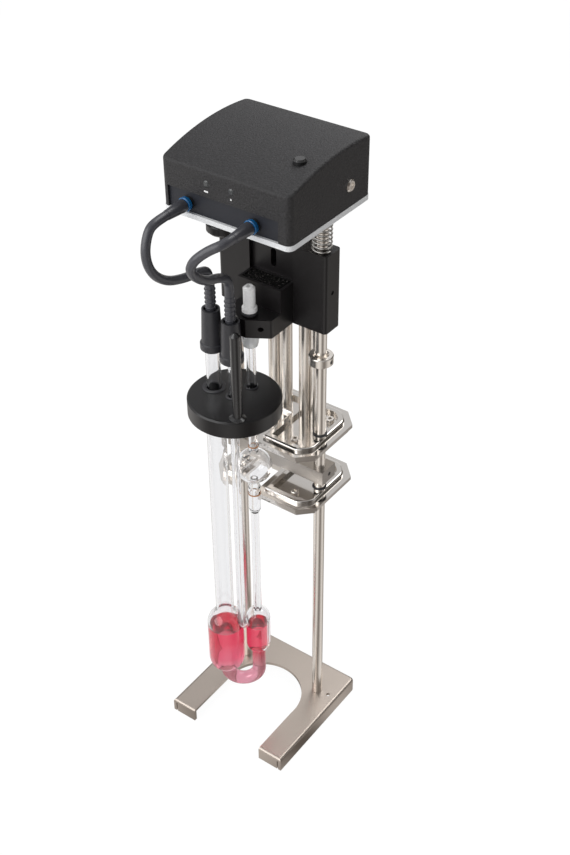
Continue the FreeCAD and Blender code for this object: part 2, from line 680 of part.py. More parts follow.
def make_cover():
    edge = s.cover_inset
    shell = side_block("CoverShell", half_head - edge, side_profile(
        cover_front, s.head_rear - edge, base_top, edge * 0, s.cover_crown))
    round_edges(shell, s.head_corner - edge, is_upright_corner)
    low = base_top.value + 20

    def on_top(candidate):
        return candidate.BoundBox.ZMin > low and not is_upright(candidate)
    round_edges(shell, s.cover_edge, on_top)
    wall = s.cover_wall
    cavity = side_block("CoverCavity", half_head - edge - wall, side_profile(
        wall_back, s.head_rear - edge - wall, base_top - 1, wall, s.cover_crown))
    recess = box(s.recess_left, cover_front - 1, base_top - 1, s.recess_right - s.recess_left,
                 1 + s.recess_depth + s.panel_thick + s.fit_gap / 2,
                 recess_high - base_top + 1)
    fittings = [cylinder(s.fitting_radius + s.fit_gap / 2, s.cover_front_wall + 2, x,
                         cover_front - 1, fitting_z, ALONG_Y)
                for x in (s.fitting_left_x, s.fitting_right_x)]
    lamps = [cylinder(s.lamp_radius + s.fit_gap / 2, 2 * s.cover_front_wall, x,
                      cover_front - 1, lamp_z, ALONG_Y)
             for x in (s.lamp_left_x, s.lamp_right_x)]
    button_hole = cylinder(s.button_radius + s.slide_gap, 20, s.button_x, s.button_y,
                           button_flange_z)
    side_holes = [cylinder(1.7, 12, x, s.side_screw_y, side_screw_z, ALONG_X)
                  for x in (-half_head - 2, half_head - 10)]
    keep("head_cover", cut(shell, cavity, recess, *fittings, *lamps, button_hole, *side_holes))


def make_front_panel():
    holes = [cylinder(s.fitting_radius + s.fit_gap / 2, 2 * s.panel_thick, x, panel_face - 0.5,
                      fitting_z, ALONG_Y) for x in (s.fitting_left_x, s.fitting_right_x)]
    gap = s.fit_gap / 2
    blank = box(s.recess_left + gap, panel_face, base_top + gap,
                s.recess_right - s.recess_left - s.fit_gap, s.panel_thick,
                recess_high - base_top - s.fit_gap)
    keep("front_panel", cut(blank, *holes))
    raised = s.mark_raise
    marks = [box(s.lamp_left_x - s.mark_width / 2, cover_front - raised, mark_z,
                 s.mark_width, raised, s.mark_height),
             box(s.lamp_right_x - s.mark_height / 2, cover_front - raised, mark_z,
                 s.mark_height, raised, s.mark_height)]
    keep("indicator_marks", group(*marks))


def make_fitting(side, x):
    """A push-in hose fitting, its sliding release collet and the boot on the hose's end."""
    bore = s.hose_radius + s.fit_gap
    seat = s.collet_sleeve + s.running_gap
    depth = s.collet_sleeve_length + s.collet_travel
    behind = s.cover_front_wall + s.fit_gap
    fitting = turned("Fitting", [
        (seat, 0), (s.fitting_radius, 0), (s.fitting_radius, behind),
        (s.fitting_barrel + 1.0, behind), (s.fitting_barrel + 1.0, behind + 2.4),
        (s.fitting_barrel, behind + 2.4), (s.fitting_barrel, s.fitting_length),
        (1.5, s.fitting_length), (1.5, depth + 3), (bore, depth + 3), (bore, depth),
        (seat, depth)], x, cover_front, fitting_z, ALONG_Y)
    stand_off = s.collet_travel + s.fit_gap
    flange_back = s.collet_flange
    front = stand_off + flange_back
    sleeve_end = front + s.collet_sleeve_length - s.fit_gap
    keep("release_collet_" + side, turned("Collet", [
        (bore, 0), (s.collet_radius - 0.5, 0), (s.collet_radius, 0.5),
        (s.collet_radius, flange_back), (s.collet_sleeve, flange_back),
        (s.collet_sleeve, sleeve_end), (bore, sleeve_end)],
        x, cover_front - front, fitting_z, ALONG_Y))
    shoulder = front + s.fit_gap
    stem = shoulder + depth + 2.8
    keep("hose_boot_" + side, turned("Boot", [
        (0, -s.boot_length), (s.boot_tip, -s.boot_length), (s.boot_root, -0.6),
        (s.boot_root - 0.4, 0), (s.hose_radius, 0), (s.hose_radius, stem), (0, stem)],
        x, cover_front - shoulder, fitting_z, ALONG_Y))
    return fitting, cover_front - shoulder - s.boot_length


def make_button():
    low = button_flange_z
    keep("top_button", turned("Button", [
        (0, button_stem_z), (s.button_stem, button_stem_z), (s.button_stem, low),
        (s.button_flange, low), (s.button_flange, low + 1.2), (s.button_radius, low + 1.2),
        (s.button_radius, button_top - 1.1), (s.button_radius - 1.1, button_top),
        (0, button_top)], s.button_x, s.button_y))
    side = s.switch_side
    plunger = button_stem_z - s.button_travel - s.seat_gap
    board_top = board_z + s.board_thick
    keep("button_switch", fuse(
        box(s.button_x - side / 2, s.button_y - side / 2, board_top, side, side, 6.0),
        cylinder(1.6, plunger - board_top - 6.0, s.button_x, s.button_y, board_top + 6.0)))


def make_lamps():
    length = s.cover_front_wall + s.lamp_dome
    keep("lamp_lenses", group(*[
        turned("Lamp", [
            (0, 0), (s.lamp_radius - 0.7, 0), (s.lamp_radius, 0.7), (s.lamp_radius, length),
            (0, length)], x, cover_front - s.lamp_dome, lamp_z, ALONG_Y)
        for x in (s.lamp_left_x, s.lamp_right_x)]))


def make_side_screws():
    """The two cover screws and the brackets on the base plate that they go into."""
    outside = half_head - s.cover_inset
    inside = outside - s.cover_wall - s.fit_gap
    profile = [(0, -6.5), (1.5, -6.5), (1.5, 0), (s.side_screw_radius, 0),
               (s.side_screw_radius, 0.5), (s.side_screw_radius - 0.9, 1.4), (1.7, 1.4),
               (1.7, 0.5), (0, 0.5)]
    right = turned("SideScrew", profile, outside, s.side_screw_y, side_screw_z, ALONG_X)
    left = turned("SideScrew", profile, -outside, s.side_screw_y, side_screw_z,
                  ((0, 1, 0), -90))
    keep("cover_screws", group(right, left))
    thick, depth, leg = s.bracket_sheet, s.bracket_depth, 6.0
    first_y = s.side_screw_y - depth / 2
    brackets = []
    for x, leg_x in ((inside - thick, inside - leg), (-inside, -inside)):
        upright = box(x, first_y, base_top, thick, depth, s.bracket_height)
        flat = box(leg_x, first_y, base_top, leg, depth, thick)
        tapped = cylinder(1.55, 6, x - 2, s.side_screw_y, side_screw_z, ALONG_X)
        brackets.append(cut(fuse(upright, flat), tapped))
    keep("cover_brackets", group(*brackets))


def make_knob():
    """The thumb nut under the base plate, with its stud and the press nut that it turns in."""
    top = s.base_z - s.seat_gap
    bottom = top - s.knob_height
    blank = turned("Knob", [
        (0, 0), (s.knob_radius - 1.8, 0), (s.knob_radius, 1.8), (s.knob_radius, s.knob_height - 1.6),
        (s.knob_radius - 0.8, s.knob_height - 0.8), (4.5, s.knob_height - 0.8),
        (4.5, s.knob_height), (s.knob_stud, s.knob_height),
        (s.knob_stud, s.knob_height + s.knob_stud_length),
        (0, s.knob_height + s.knob_stud_length)], s.knob_x, s.knob_y, bottom)
    keep("clamp_knob", blank)
    bore = s.knob_stud + s.running_gap
    return turned("KnobNut", [
        (bore, 0), (s.knob_nut, 0), (s.knob_nut, s.knob_nut_height),
        (bore, s.knob_nut_height)], s.knob_x, s.knob_y, base_top)


def make_electronics(knob_nut):
    half_w, half_d = s.board_width / 2, s.board_depth / 2
    inset = s.board_hole_inset
    corners = [(s.board_x + a * (half_w - inset), s.board_y + b * (half_d - inset))
               for a in (-1, 1) for b in (-1, 1)]
    board = box(s.board_x - half_w, s.board_y - half_d, board_z, s.board_width,
                s.board_depth, s.board_thick)
    holes = [cylinder(1.4, 6, x, y, board_z - 2) for x, y in corners]
    keep("circuit_board", cut(board, *holes))
    tall = board_z - base_top
    standoffs = [
        turned("Standoff", [
            (0, 0), (s.standoff_radius, 0), (s.standoff_radius, tall), (1.3, tall),
            (1.3, tall + s.board_thick), (0, tall + s.board_thick)], x, y, base_top)
        for x, y in corners]
    keep("base_inserts", group(knob_nut, *standoffs))
    board_top = board_z + s.board_thick
    keep("pressure_sensor", fuse(
        box(-8.0, -10.0, board_top, 10.0, 8.0, 4.0),
        cylinder(1.6, 4, -3.0, -6.0, board_top + 4.0)))
    pump_z = base_top + s.pump_head
    saddle = box(s.pump_x, s.pump_y - 5, base_top, s.pump_length, 10.0, s.pump_head)
    keep("air_pump", fuse(
        cylinder(s.pump_radius, s.pump_length, s.pump_x, s.pump_y, pump_z, ALONG_X),
        cylinder(s.pump_head, s.pump_head_length, s.pump_x, s.pump_y, pump_z, ALONG_X), saddle))
    valve_top = base_top + s.valve_height
    keep("valve_block", fuse(
        box(s.valve_x, s.valve_y, base_top, s.valve_width - 4, s.valve_depth, s.valve_height),
        cylinder(1.8, 3.5, s.valve_x + 4, s.valve_y + 4, valve_top),
        cylinder(1.8, 3.5, s.valve_x + 4, s.valve_y + 12, valve_top)))


make_base_plate()
make_cover()
make_front_panel()
left_fitting, left_boot_y = make_fitting("left", s.fitting_left_x)
right_fitting, right_boot_y = make_fitting("right", s.fitting_right_x)
keep("hose_fittings", group(left_fitting, right_fitting))
make_button()
make_lamps()
make_side_screws()
make_electronics(make_knob())


# Block on the posts, its clamp screws, the springs on it and the nose

block_top = s.block_z + s.block_height
block_face = s.post_y - s.block_front
channel_floor = block_face + s.channel_depth


def make_block():
    half, channel = s.block_width / 2, s.channel_width / 2
    rear = s.post_y + s.block_rear
    body = plate("HolderBlock", [
        (-half, block_face), (-channel, block_face), (-channel, channel_floor),
        (channel, channel_floor), (channel, block_face), (half, block_face), (half, rear),
        (-half, rear)], s.block_height, s.block_z,
        [(x, y, s.post_radius + s.running_gap) for x, y in post_places])
    limit = half.value - 1e-4

    def outer_corner(edge):
        return is_upright(edge) and abs(edge.Vertexes[0].X) > limit
    round_edges(body, s.block_corner, outer_corner)
    radius = s.slot_width / 2
    slot = [box(-radius, channel_floor - 1, slot_z + radius, s.slot_width, s.slot_depth + 1,
                s.slot_length - s.slot_width)]
    slot += [cylinder(radius, s.slot_depth + 1, 0, channel_floor - 1, z, ALONG_Y)
             for z in (slot_z + radius, slot_z + s.slot_length - radius)]
    screws = [cylinder(1.6, 10, x, channel_floor - 1, nose_screw_z, ALONG_Y)
              for x in (-s.nose_screw_x, s.nose_screw_x)]
    clamps = [cylinder(s.grub_radius, half - s.post_x + 1, x, s.post_y, clamp_screw_z, ALONG_X)
              for x in (s.post_x, -half - 1)]
    keep("holder_block", cut(body, *slot, *screws, *clamps))
    length = half - s.post_x - s.post_radius - 0.8
    return [cylinder(s.grub_radius - 0.05, length, x, s.post_y, clamp_screw_z, ALONG_X)
            for x in (s.post_x + s.post_radius + s.running_gap, 0.6 - half)]


def make_spring(node, x):
    """A compression spring round the post, between the block and the base plate."""
    wire, radius, turns = s.spring_wire.value, s.spring_radius.value, s.spring_turns.value
    height = s.base_z.value - block_top.value - 2 * wire - 0.1
    steps, sides = round(turns * 12), 6
    rings = []
    for step in range(steps + 1):
        angle = 2 * math.pi * turns * step / steps
        outward = FreeCAD.Vector(math.cos(angle), math.sin(angle), 0)
        centre = outward * radius + FreeCAD.Vector(0, 0, height * step / steps)
        rings.append([
            centre + outward * (wire * math.cos(2 * math.pi * side / sides))
            + FreeCAD.Vector(0, 0, wire * math.sin(2 * math.pi * side / sides))
            for side in range(sides)])
    faces = [Part.Face(Part.makePolygon(ring + ring[:1])) for ring in (rings[0], rings[-1])]
    for low, high in zip(rings, rings[1:]):
        for side in range(sides):
            a, b = low[side], low[(side + 1) % sides]
            c, d = high[(side + 1) % sides], high[side]
            faces += [Part.Face(Part.makePolygon([a, b, c, a])),
                      Part.Face(Part.makePolygon([a, c, d, a]))]
    made = doc.addObject("Part::Feature", "Spring")
    made.Shape = Part.makeSolid(Part.makeShell(faces))
    keep(node, place(made, x, s.post_y, block_top + s.spring_wire + 0.05))


def make_nose():
    half = s.nose_width / 2
    slab_top = s.block_z + s.slab_height
    wall = s.tower_wall
    slab = plate("NoseSlab", [
        (-half, channel_floor), (-half, s.slab_shoulder), (-s.slab_tip_half, s.slab_tip),
        (s.slab_tip_half, s.slab_tip), (half, s.slab_shoulder), (half, channel_floor)],
        s.slab_height, s.block_z)
    tip = s.slab_shoulder.value + 1e-3

    def nose_corner(edge):
        return is_upright(edge) and edge.Vertexes[0].Y < tip
    round_edges(slab, 2.0, nose_corner)
    tower_depth = channel_floor - s.tower_front
    tower = box(-half, s.tower_front, slab_top - 1, s.nose_width, tower_depth,
                s.tower_height + 1)
    pocket = box(wall - half, s.tower_front + wall, slab_top, s.nose_width - 2 * wall,
                 tower_depth - 2 * wall, s.tower_height + 1)
    bore = cylinder(s.plug_stem + s.fit_gap, s.slab_height + 2, s.tube_x, s.tube_y,
                    s.block_z - 1)
    screw_holes = [cylinder(1.7, channel_floor - s.slab_tip + 2, x, s.slab_tip - 1, nose_screw_z, ALONG_Y)
                   for x in (-s.nose_screw_x, s.nose_screw_x)]
    keep("nose", cut(fuse(slab, tower), pocket, bore, *screw_holes))
    gap = s.fit_gap
    keep("foam_pad", box(wall - half + gap, s.tower_front + wall + gap, slab_top,
                         s.nose_width - 2 * (wall + gap), tower_depth - 2 * (wall + gap),
                         s.foam_height))
    keep("nose_screws", group(*[
        turned("NoseScrew", [
            (0, -14), (0, -15.5), (1.65, -15.5), (1.65, -9), (1.5, -9), (1.5, 7), (0, 7)],
            x, channel_floor, nose_screw_z, ALONG_Y)
        for x in (-s.nose_screw_x, s.nose_screw_x)]))


grub_screws += make_block()
keep("grub_screws", group(*grub_screws))
make_spring("left_spring", -s.post_x)
make_spring("right_spring", s.post_x)
make_nose()


# Glass: three tubes fused into one piece, hollow all through

bend_x = (s.fill_x + s.tube_x) / 2
bend_y = (s.fill_y + s.tube_y) / 2
reach_x, reach_y = s.tube_x - s.fill_x, s.tube_y - s.fill_y
bend_reach = root(reach_x * reach_x + reach_y * reach_y) / 2
bend_angle = Size("atan2(%s; %s)" % (reach_y.text, reach_x.text),
                  math.degrees(math.atan2(reach_y.value, reach_x.value)))


def round_rise(wide, narrow):
    """How far a round end of that wide radius reaches before it is only narrow."""
    return root(wide * wide - narrow * narrow)


def fill_profile(wall, top):
    """The filling tube and the storage bulb, thinned by wall."""
    neck, wide, tank = s.fill_neck - wall, s.fill_radius - wall, s.tank_radius - wall
    low, shoulder = s.bend_tube - wall, s.tank_shoulder_arc - wall
    inset = s.tank_radius - s.tank_shoulder_arc
    throat = s.tank_neck - wall
    throat_z = s.tank_shoulder + root(shoulder * shoulder - (throat - inset) * (throat - inset))
    return [
        (0, s.bend_z), (low, s.bend_z), (low, s.tank_low - round_rise(tank, low)),
        (tank, s.tank_low, tank, "right"), (tank, s.tank_shoulder),
        (throat, throat_z, shoulder, "right"), (wide, s.tank_top, 9.0 + wall, "left"),
        (wide, s.fill_neck_z), (neck, s.fill_neck_z + 3), (neck, top), (0, top)]


def measuring_profile(wall, fine, top):
    """The measuring tube from the bend to its end, with fine between the bulbs."""
    tube, bulb, pear = s.tube_radius - wall, s.bulb_radius - wall, s.pear_radius - wall
    low = s.bend_tube - wall
    return [
        (0, s.bend_z), (low, s.bend_z), (low, s.bulb_low - round_rise(bulb, low)),
        (bulb, s.bulb_low, bulb, "right"), (bulb, s.bulb_high),
        (fine, s.bulb_high + round_rise(bulb, fine), bulb, "right"), (fine, s.pear_bottom),
        (pear, s.pear_low), (pear, s.pear_high), (tube - 0.4, s.pear_top),
        (tube, s.ball_z), (tube, top), (0, top)]


def glass_part(wall, fine, past):
    """The glass's outside with wall 0, its inside with the wall. past lengthens the open ends."""
    fill = turned("FillTube", fill_profile(wall, s.fill_top + past), s.fill_x, s.fill_y)
    measuring = turned("MeasuringTube", measuring_profile(wall, fine, tube_top + past),
                       s.tube_x, s.tube_y)
    ball = sphere(s.ball_radius - wall, s.tube_x, s.tube_y, s.ball_z)
    radius = s.vent_radius - wall
    vent = cylinder(radius, s.vent_top - s.elbow_z + past, s.vent_x, s.vent_y, s.elbow_z)
    elbow = new_body("Elbow", s.vent_x, s.vent_y + s.elbow_radius, s.elbow_z,
                     ((0, 0, 1), -90))
    elbow_ring = new_sketch(elbow, "XY_Plane")
    hole_circle(elbow_ring, s.elbow_radius, 0, radius)
    quarter = elbow.newObject("PartDesign::Revolution", "QuarterRing")
    quarter.Profile = elbow_ring
    quarter.ReferenceAxis = (elbow_ring, ["V_Axis"])
    quarter.Angle = 90.0
    spur = cylinder(radius, s.tube_y - s.vent_y - s.elbow_radius - 1.0, s.vent_x,
                    s.vent_y + s.elbow_radius, s.elbow_z - s.elbow_radius, ALONG_Y)
    bend = new_body("Bend", bend_x, bend_y, s.bend_z, ((0, 0, 1), bend_angle.value))
    bend.setExpression("Placement.Rotation.Angle", bend_angle.text)
    ring = new_sketch(bend, "XY_Plane")
    hole_circle(ring, bend_reach, 0, s.bend_tube - wall)
    half_ring = bend.newObject("PartDesign::Revolution", "HalfRing")
    half_ring.Profile = ring
    half_ring.ReferenceAxis = (ring, ["V_Axis"])
    half_ring.Angle = 180.0
    return fuse(fill, measuring, ball, vent, elbow, spur, bend)


outer_glass = glass_part(s.glass_wall * 0, s.fine_radius, s.glass_wall * 0)
inner_glass = glass_part(s.glass_wall, s.bore_radius, s.glass_wall * 2)
keep("capillary_glass", cut(outer_glass, inner_glass))


def make_liquid():
    film = s.glass_wall + s.film_gap
    room = glass_part(film, s.bore_radius - s.film_gap, s.glass_wall * 0)
    low = s.bend_z - s.liquid_room
    near_tank = box(s.fill_x - s.liquid_room, s.fill_y - s.liquid_room, low,
                    s.liquid_length, s.liquid_width, s.liquid_level - low)
    wetted = doc.addObject("Part::MultiCommon", "Wetted")
    wetted.Shapes = [room, near_tank]
    keep("sample_liquid", wetted)


def make_timing_marks():
    """The fired-on rings between which the sample is timed."""
    bands = []
    for radius, z in ((s.pear_radius, s.ring_mark_z), (s.tube_radius, s.top_mark_z)):
        inner = radius + 0.02
        outer = radius + s.mark_film
        bands.append(turned("TimingMark", [
            (inner, 0), (outer, 0), (outer, s.ring_mark_height), (inner, s.ring_mark_height)],
            s.tube_x, s.tube_y, z))
    keep("timing_marks", group(*bands))


make_liquid()
make_timing_marks()


# What holds, seals and closes the glass

def make_disc():
    holes = [(s.fill_x, s.fill_y, s.fill_grommet), (s.tube_x, s.tube_y, s.tube_grommet),
             (s.vent_x, s.vent_y, s.vent_grommet)]
    body = turned("Disc", [
        (0, 0), (s.disc_radius - s.disc_edge, 0), (s.disc_radius, s.disc_edge),
        (s.disc_radius, s.disc_height - s.disc_edge), (s.disc_radius - s.disc_edge, s.disc_height),
        (0, s.disc_height)], s.disc_x, s.disc_y, s.disc_z)
    bores = [cylinder(radius, s.disc_height + 2, x, y, s.disc_z - 1) for x, y, radius in holes]
    rod_bore = cylinder(s.rod_radius + s.running_gap, s.disc_height, s.rod_x, s.rod_y, s.rod_seat)
    keep("holder_disc", cut(body, *bores, rod_bore))
    height = s.disc_height + s.grommet_lift
    rings = []
    for (x, y, radius), glass in zip(holes, (s.fill_neck, s.tube_radius, s.vent_radius)):
        bore = glass + s.fit_gap / 2
        rings.append(turned("Grommet", [
            (bore, 0), (radius, 0), (radius, height - 0.4), (radius - 0.4, height),
            (bore + 0.6, height), (bore, height - 0.6)], x, y, s.disc_z))
    keep("disc_grommets", group(*rings))


def make_rod():
    top, seat = s.rod_top - s.rod_seat, s.disc_z + s.disc_height - s.rod_seat
    body = turned("Rod", [
        (0, 0), (s.rod_radius, 0), (s.rod_radius, seat), (s.rod_collar, seat),
        (s.rod_collar, seat + 0.6), (s.rod_radius, seat + s.rod_collar_height),
        (s.rod_radius, top - 2.2), (s.rod_radius - 2.2, top), (0, top)],
        s.rod_x, s.rod_y, s.rod_seat)
    round_edges(body, 1.2, circle_at(s.rod_radius, top - 2.2))
    keep("lift_rod", body)


def make_plug():
    slab_top = s.block_z + s.slab_height
    seat = slab_top + s.seal_height
    keep("tube_plug", turned("Plug", [
        (0, -s.plug_stem_length), (s.plug_stem, -s.plug_stem_length), (s.plug_stem, 0),
        (s.plug_flange, 0), (s.plug_flange, s.plug_flange_height - 0.8),
        (s.plug_radius + 0.4, s.plug_flange_height), (s.plug_radius, s.plug_flange_height + 0.4),
        (s.plug_radius, s.plug_height - 1.4), (s.plug_radius - 1.4, s.plug_height),
        (1.6, s.plug_height), (1.6, s.plug_height - 3), (0, s.plug_height - 3)],
        s.tube_x, s.tube_y, seat))
    bore = s.plug_stem + s.fit_gap
    keep("plug_seal", turned("Seal", [
        (bore, 0), (s.seal_radius - 0.9, 0), (s.seal_radius, 0.9),
        (s.seal_radius, s.seal_height - 0.9), (s.seal_radius - 0.9, s.seal_height),
        (bore, s.seal_height)], s.tube_x, s.tube_y, slab_top))
    glass = s.tube_radius + s.fit_gap / 2
    keep("tube_cup", turned("Cup", [
        (glass, 0), (s.cup_low_radius, 0), (s.cup_radius, s.cup_height * 0.6),
        (s.cup_radius, s.cup_height), (glass, s.cup_height)],
        s.tube_x, s.tube_y, s.block_z - s.cup_height))


def make_cap(side, x, y, z, glass, glass_top):
    """A rubber cap pushed over a glass tube, and the ribbed sleeve that holds the hose on it."""
    bore = glass + s.fit_gap / 2
    step = glass_top - z + 0.1
    sleeve_bore = s.sleeve_radius + s.fit_gap / 2
    recess = s.cap_height - s.cap_recess
    keep("tube_cap_" + side, turned("Cap", [
        (bore, 0), (s.cap_rim - 1.0, 0), (s.cap_rim, 1.0), (s.cap_rim, s.cap_rim_height - 0.8),
        (s.cap_waist, s.cap_rim_height), (s.cap_top, s.cap_height),
        (s.cap_recess_radius, s.cap_height), (s.cap_recess_radius, recess),
        (sleeve_bore, recess), (sleeve_bore, step), (bore, step)], x, y, z))
    foot = z + s.cap_height - s.sleeve_sink
    profile = [(0, 0), (s.sleeve_radius, 0)]
    for index in range(5):
        rib_z = s.sleeve_sink + 0.6 + index * s.sleeve_pitch
        profile += [(s.sleeve_radius, rib_z), (s.sleeve_rib, rib_z + 0.4),
                    (s.sleeve_rib, rib_z + 1.6), (s.sleeve_radius, rib_z + 2.0)]
    profile += [(s.sleeve_radius, s.sleeve_length), (0, s.sleeve_length)]
    keep("hose_sleeve_" + side, turned("Sleeve", profile, x, y, foot))
    return foot + s.sleeve_length


make_disc()
make_rod()
make_plug()
left_sleeve_top = make_cap("left", s.fill_x, s.fill_y, s.fill_cap_z, s.fill_neck, s.fill_top)
right_sleeve_top = make_cap("right", s.vent_x, s.vent_y, s.vent_cap_z, s.vent_radius, s.vent_top)


# Hoses from the boots to the sleeves: straight runs joined by tangent arcs

left_exit = FreeCAD.Vector(s.fitting_left_x.value, left_boot_y.value, fitting_z.value)
right_exit = FreeCAD.Vector(s.fitting_right_x.value, right_boot_y.value, fitting_z.value)
left_end = FreeCAD.Vector(s.fill_x.value, s.fill_y.value, left_sleeve_top.value)
right_end = FreeCAD.Vector(s.vent_x.value, s.vent_y.value, right_sleeve_top.value)

LEFT_ROUTE = [(-28.4, -61.5, 449.5), (-28.4, -69.0, 446.5), (-27.8, -74.0, 433.0),
              (-25.7, -71.5, 420.0), (-23.5, -61.0, 410.5), (-20.8, -47.5, 407.3),
              (-19.3, -35.0, 406.5), (-19.0, -26.5, 403.3)]
RIGHT_ROUTE = [(21.0, -59.0, 449.5), (11.5, -64.5, 444.0), (3.0, -68.0, 435.5),
               (-0.8, -65.5, 425.5), (1.2, -55.0, 416.0), (1.6, -42.0, 412.8),
               (-1.5, -31.0, 405.5), (-2.5, -27.5, 399.0)]


def hose_path(points):
    """The wire through the route, and the radius of each arc."""
    edges, radii = [], []
    last = points[0]
    for before, corner, after in zip(points, points[1:], points[2:]):
        back, ahead = before - corner, after - corner
        turn = math.pi - back.getAngle(ahead)
        reach = 0.45 * min(back.Length, ahead.Length)
        radii.append(reach / math.tan(turn / 2))
        start = corner + FreeCAD.Vector(back).normalize() * reach
        end = corner + FreeCAD.Vector(ahead).normalize() * reach
        inward = (FreeCAD.Vector(back).normalize() + FreeCAD.Vector(ahead).normalize()).normalize()
        depth = radii[-1] / math.cos(turn / 2) - radii[-1]
        edges.append(Part.LineSegment(last, start).toShape())
        edges.append(Part.Arc(start, corner + inward * depth, end).toShape())
        last = end
    edges.append(Part.LineSegment(last, points[-1]).toShape())
    return Part.Wire(edges), radii


def make_hose(node, start, route, end):
    points = [start] + [FreeCAD.Vector(*p) for p in route] + [end]
    path, radii = hose_path(points)
    first = points[1] - points[0]
    ring = Part.Wire(Part.makeCircle(s.hose_radius.value, points[0], first))
    made = doc.addObject("Part::Feature", "Hose")
    made.Shape = path.makePipeShell([ring], True, False)
    expected = math.pi * s.hose_radius.value ** 2 * path.Length
    print(node, "length %.1f" % path.Length, "volume share %.3f" % (made.Shape.Volume / expected),
          "radii", " ".join("%.1f" % r for r in radii))
    keep(node, made)


make_hose("hose_left", left_exit, LEFT_ROUTE, left_end)
make_hose("hose_right", right_exit, RIGHT_ROUTE, right_end)

# Checks, then one STEP file for each piece

doc.recompute()
for thing in doc.Objects:
    if "Invalid" in thing.State or "Error" in thing.State:
        raise RuntimeError("%s (%s) failed: %s" % (thing.Name, thing.Label, thing.State))
for node, made in kept.items():
    if made.Shape.isNull() or not made.Shape.isValid() or not made.Shape.Solids:
        raise RuntimeError("%s has no valid solid" % node)

os.makedirs("parts", exist_ok=True)
for node, made in kept.items():
    made.Shape.exportStep("parts/%s.step" % node)
    bounds = made.Shape.BoundBox
    print("%-20s %2d solids %10.1f mm3  x %.1f..%.1f y %.1f..%.1f z %.1f..%.1f" % (
        node, len(made.Shape.Solids), made.Shape.Volume, bounds.XMin, bounds.XMax,
        bounds.YMin, bounds.YMax, bounds.ZMin, bounds.ZMax))
print(len(kept), "pieces")
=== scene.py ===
import math

import bpy
from mathutils import Matrix, Vector


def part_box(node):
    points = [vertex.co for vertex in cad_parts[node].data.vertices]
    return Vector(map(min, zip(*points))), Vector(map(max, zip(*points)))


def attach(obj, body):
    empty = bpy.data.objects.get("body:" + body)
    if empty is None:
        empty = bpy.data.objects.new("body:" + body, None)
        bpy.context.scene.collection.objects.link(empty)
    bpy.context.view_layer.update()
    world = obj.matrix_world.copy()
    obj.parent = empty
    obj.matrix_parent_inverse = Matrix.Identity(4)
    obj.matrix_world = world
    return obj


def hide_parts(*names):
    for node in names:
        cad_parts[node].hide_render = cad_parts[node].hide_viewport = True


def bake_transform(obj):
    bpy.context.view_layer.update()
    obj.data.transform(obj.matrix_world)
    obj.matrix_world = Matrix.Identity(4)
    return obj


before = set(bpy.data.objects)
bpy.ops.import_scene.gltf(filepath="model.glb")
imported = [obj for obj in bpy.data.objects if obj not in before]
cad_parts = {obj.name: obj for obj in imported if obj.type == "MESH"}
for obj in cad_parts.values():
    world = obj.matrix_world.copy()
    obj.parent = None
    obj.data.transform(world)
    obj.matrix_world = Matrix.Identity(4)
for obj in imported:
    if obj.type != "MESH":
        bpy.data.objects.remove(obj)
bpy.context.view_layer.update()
print("viscometer: frame loaded,", len(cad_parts), "nodes")


# One shader value, so that sums and products of sockets read as plain maths
class Wire:
    def __init__(self, paint, socket):
        self.paint = paint
        self.socket = socket

    def math(self, operation, first, second):
        return self.paint.node("ShaderNodeMath", {"operation": operation},
                               {0: first, 1: second})

    def __add__(self, other):
        return self.math("ADD", self, other)

    def __radd__(self, other):
        return self.math("ADD", other, self)

    def __sub__(self, other):
        return self.math("SUBTRACT", self, other)

    def __rsub__(self, other):
        return self.math("SUBTRACT", other, self)

    def __mul__(self, other):
        return self.math("MULTIPLY", self, other)

    def __rmul__(self, other):
        return self.math("MULTIPLY", other, self)

    def clamped(self):
        return self.math("MAXIMUM", self.math("MINIMUM", self, 1.0), 0.0)


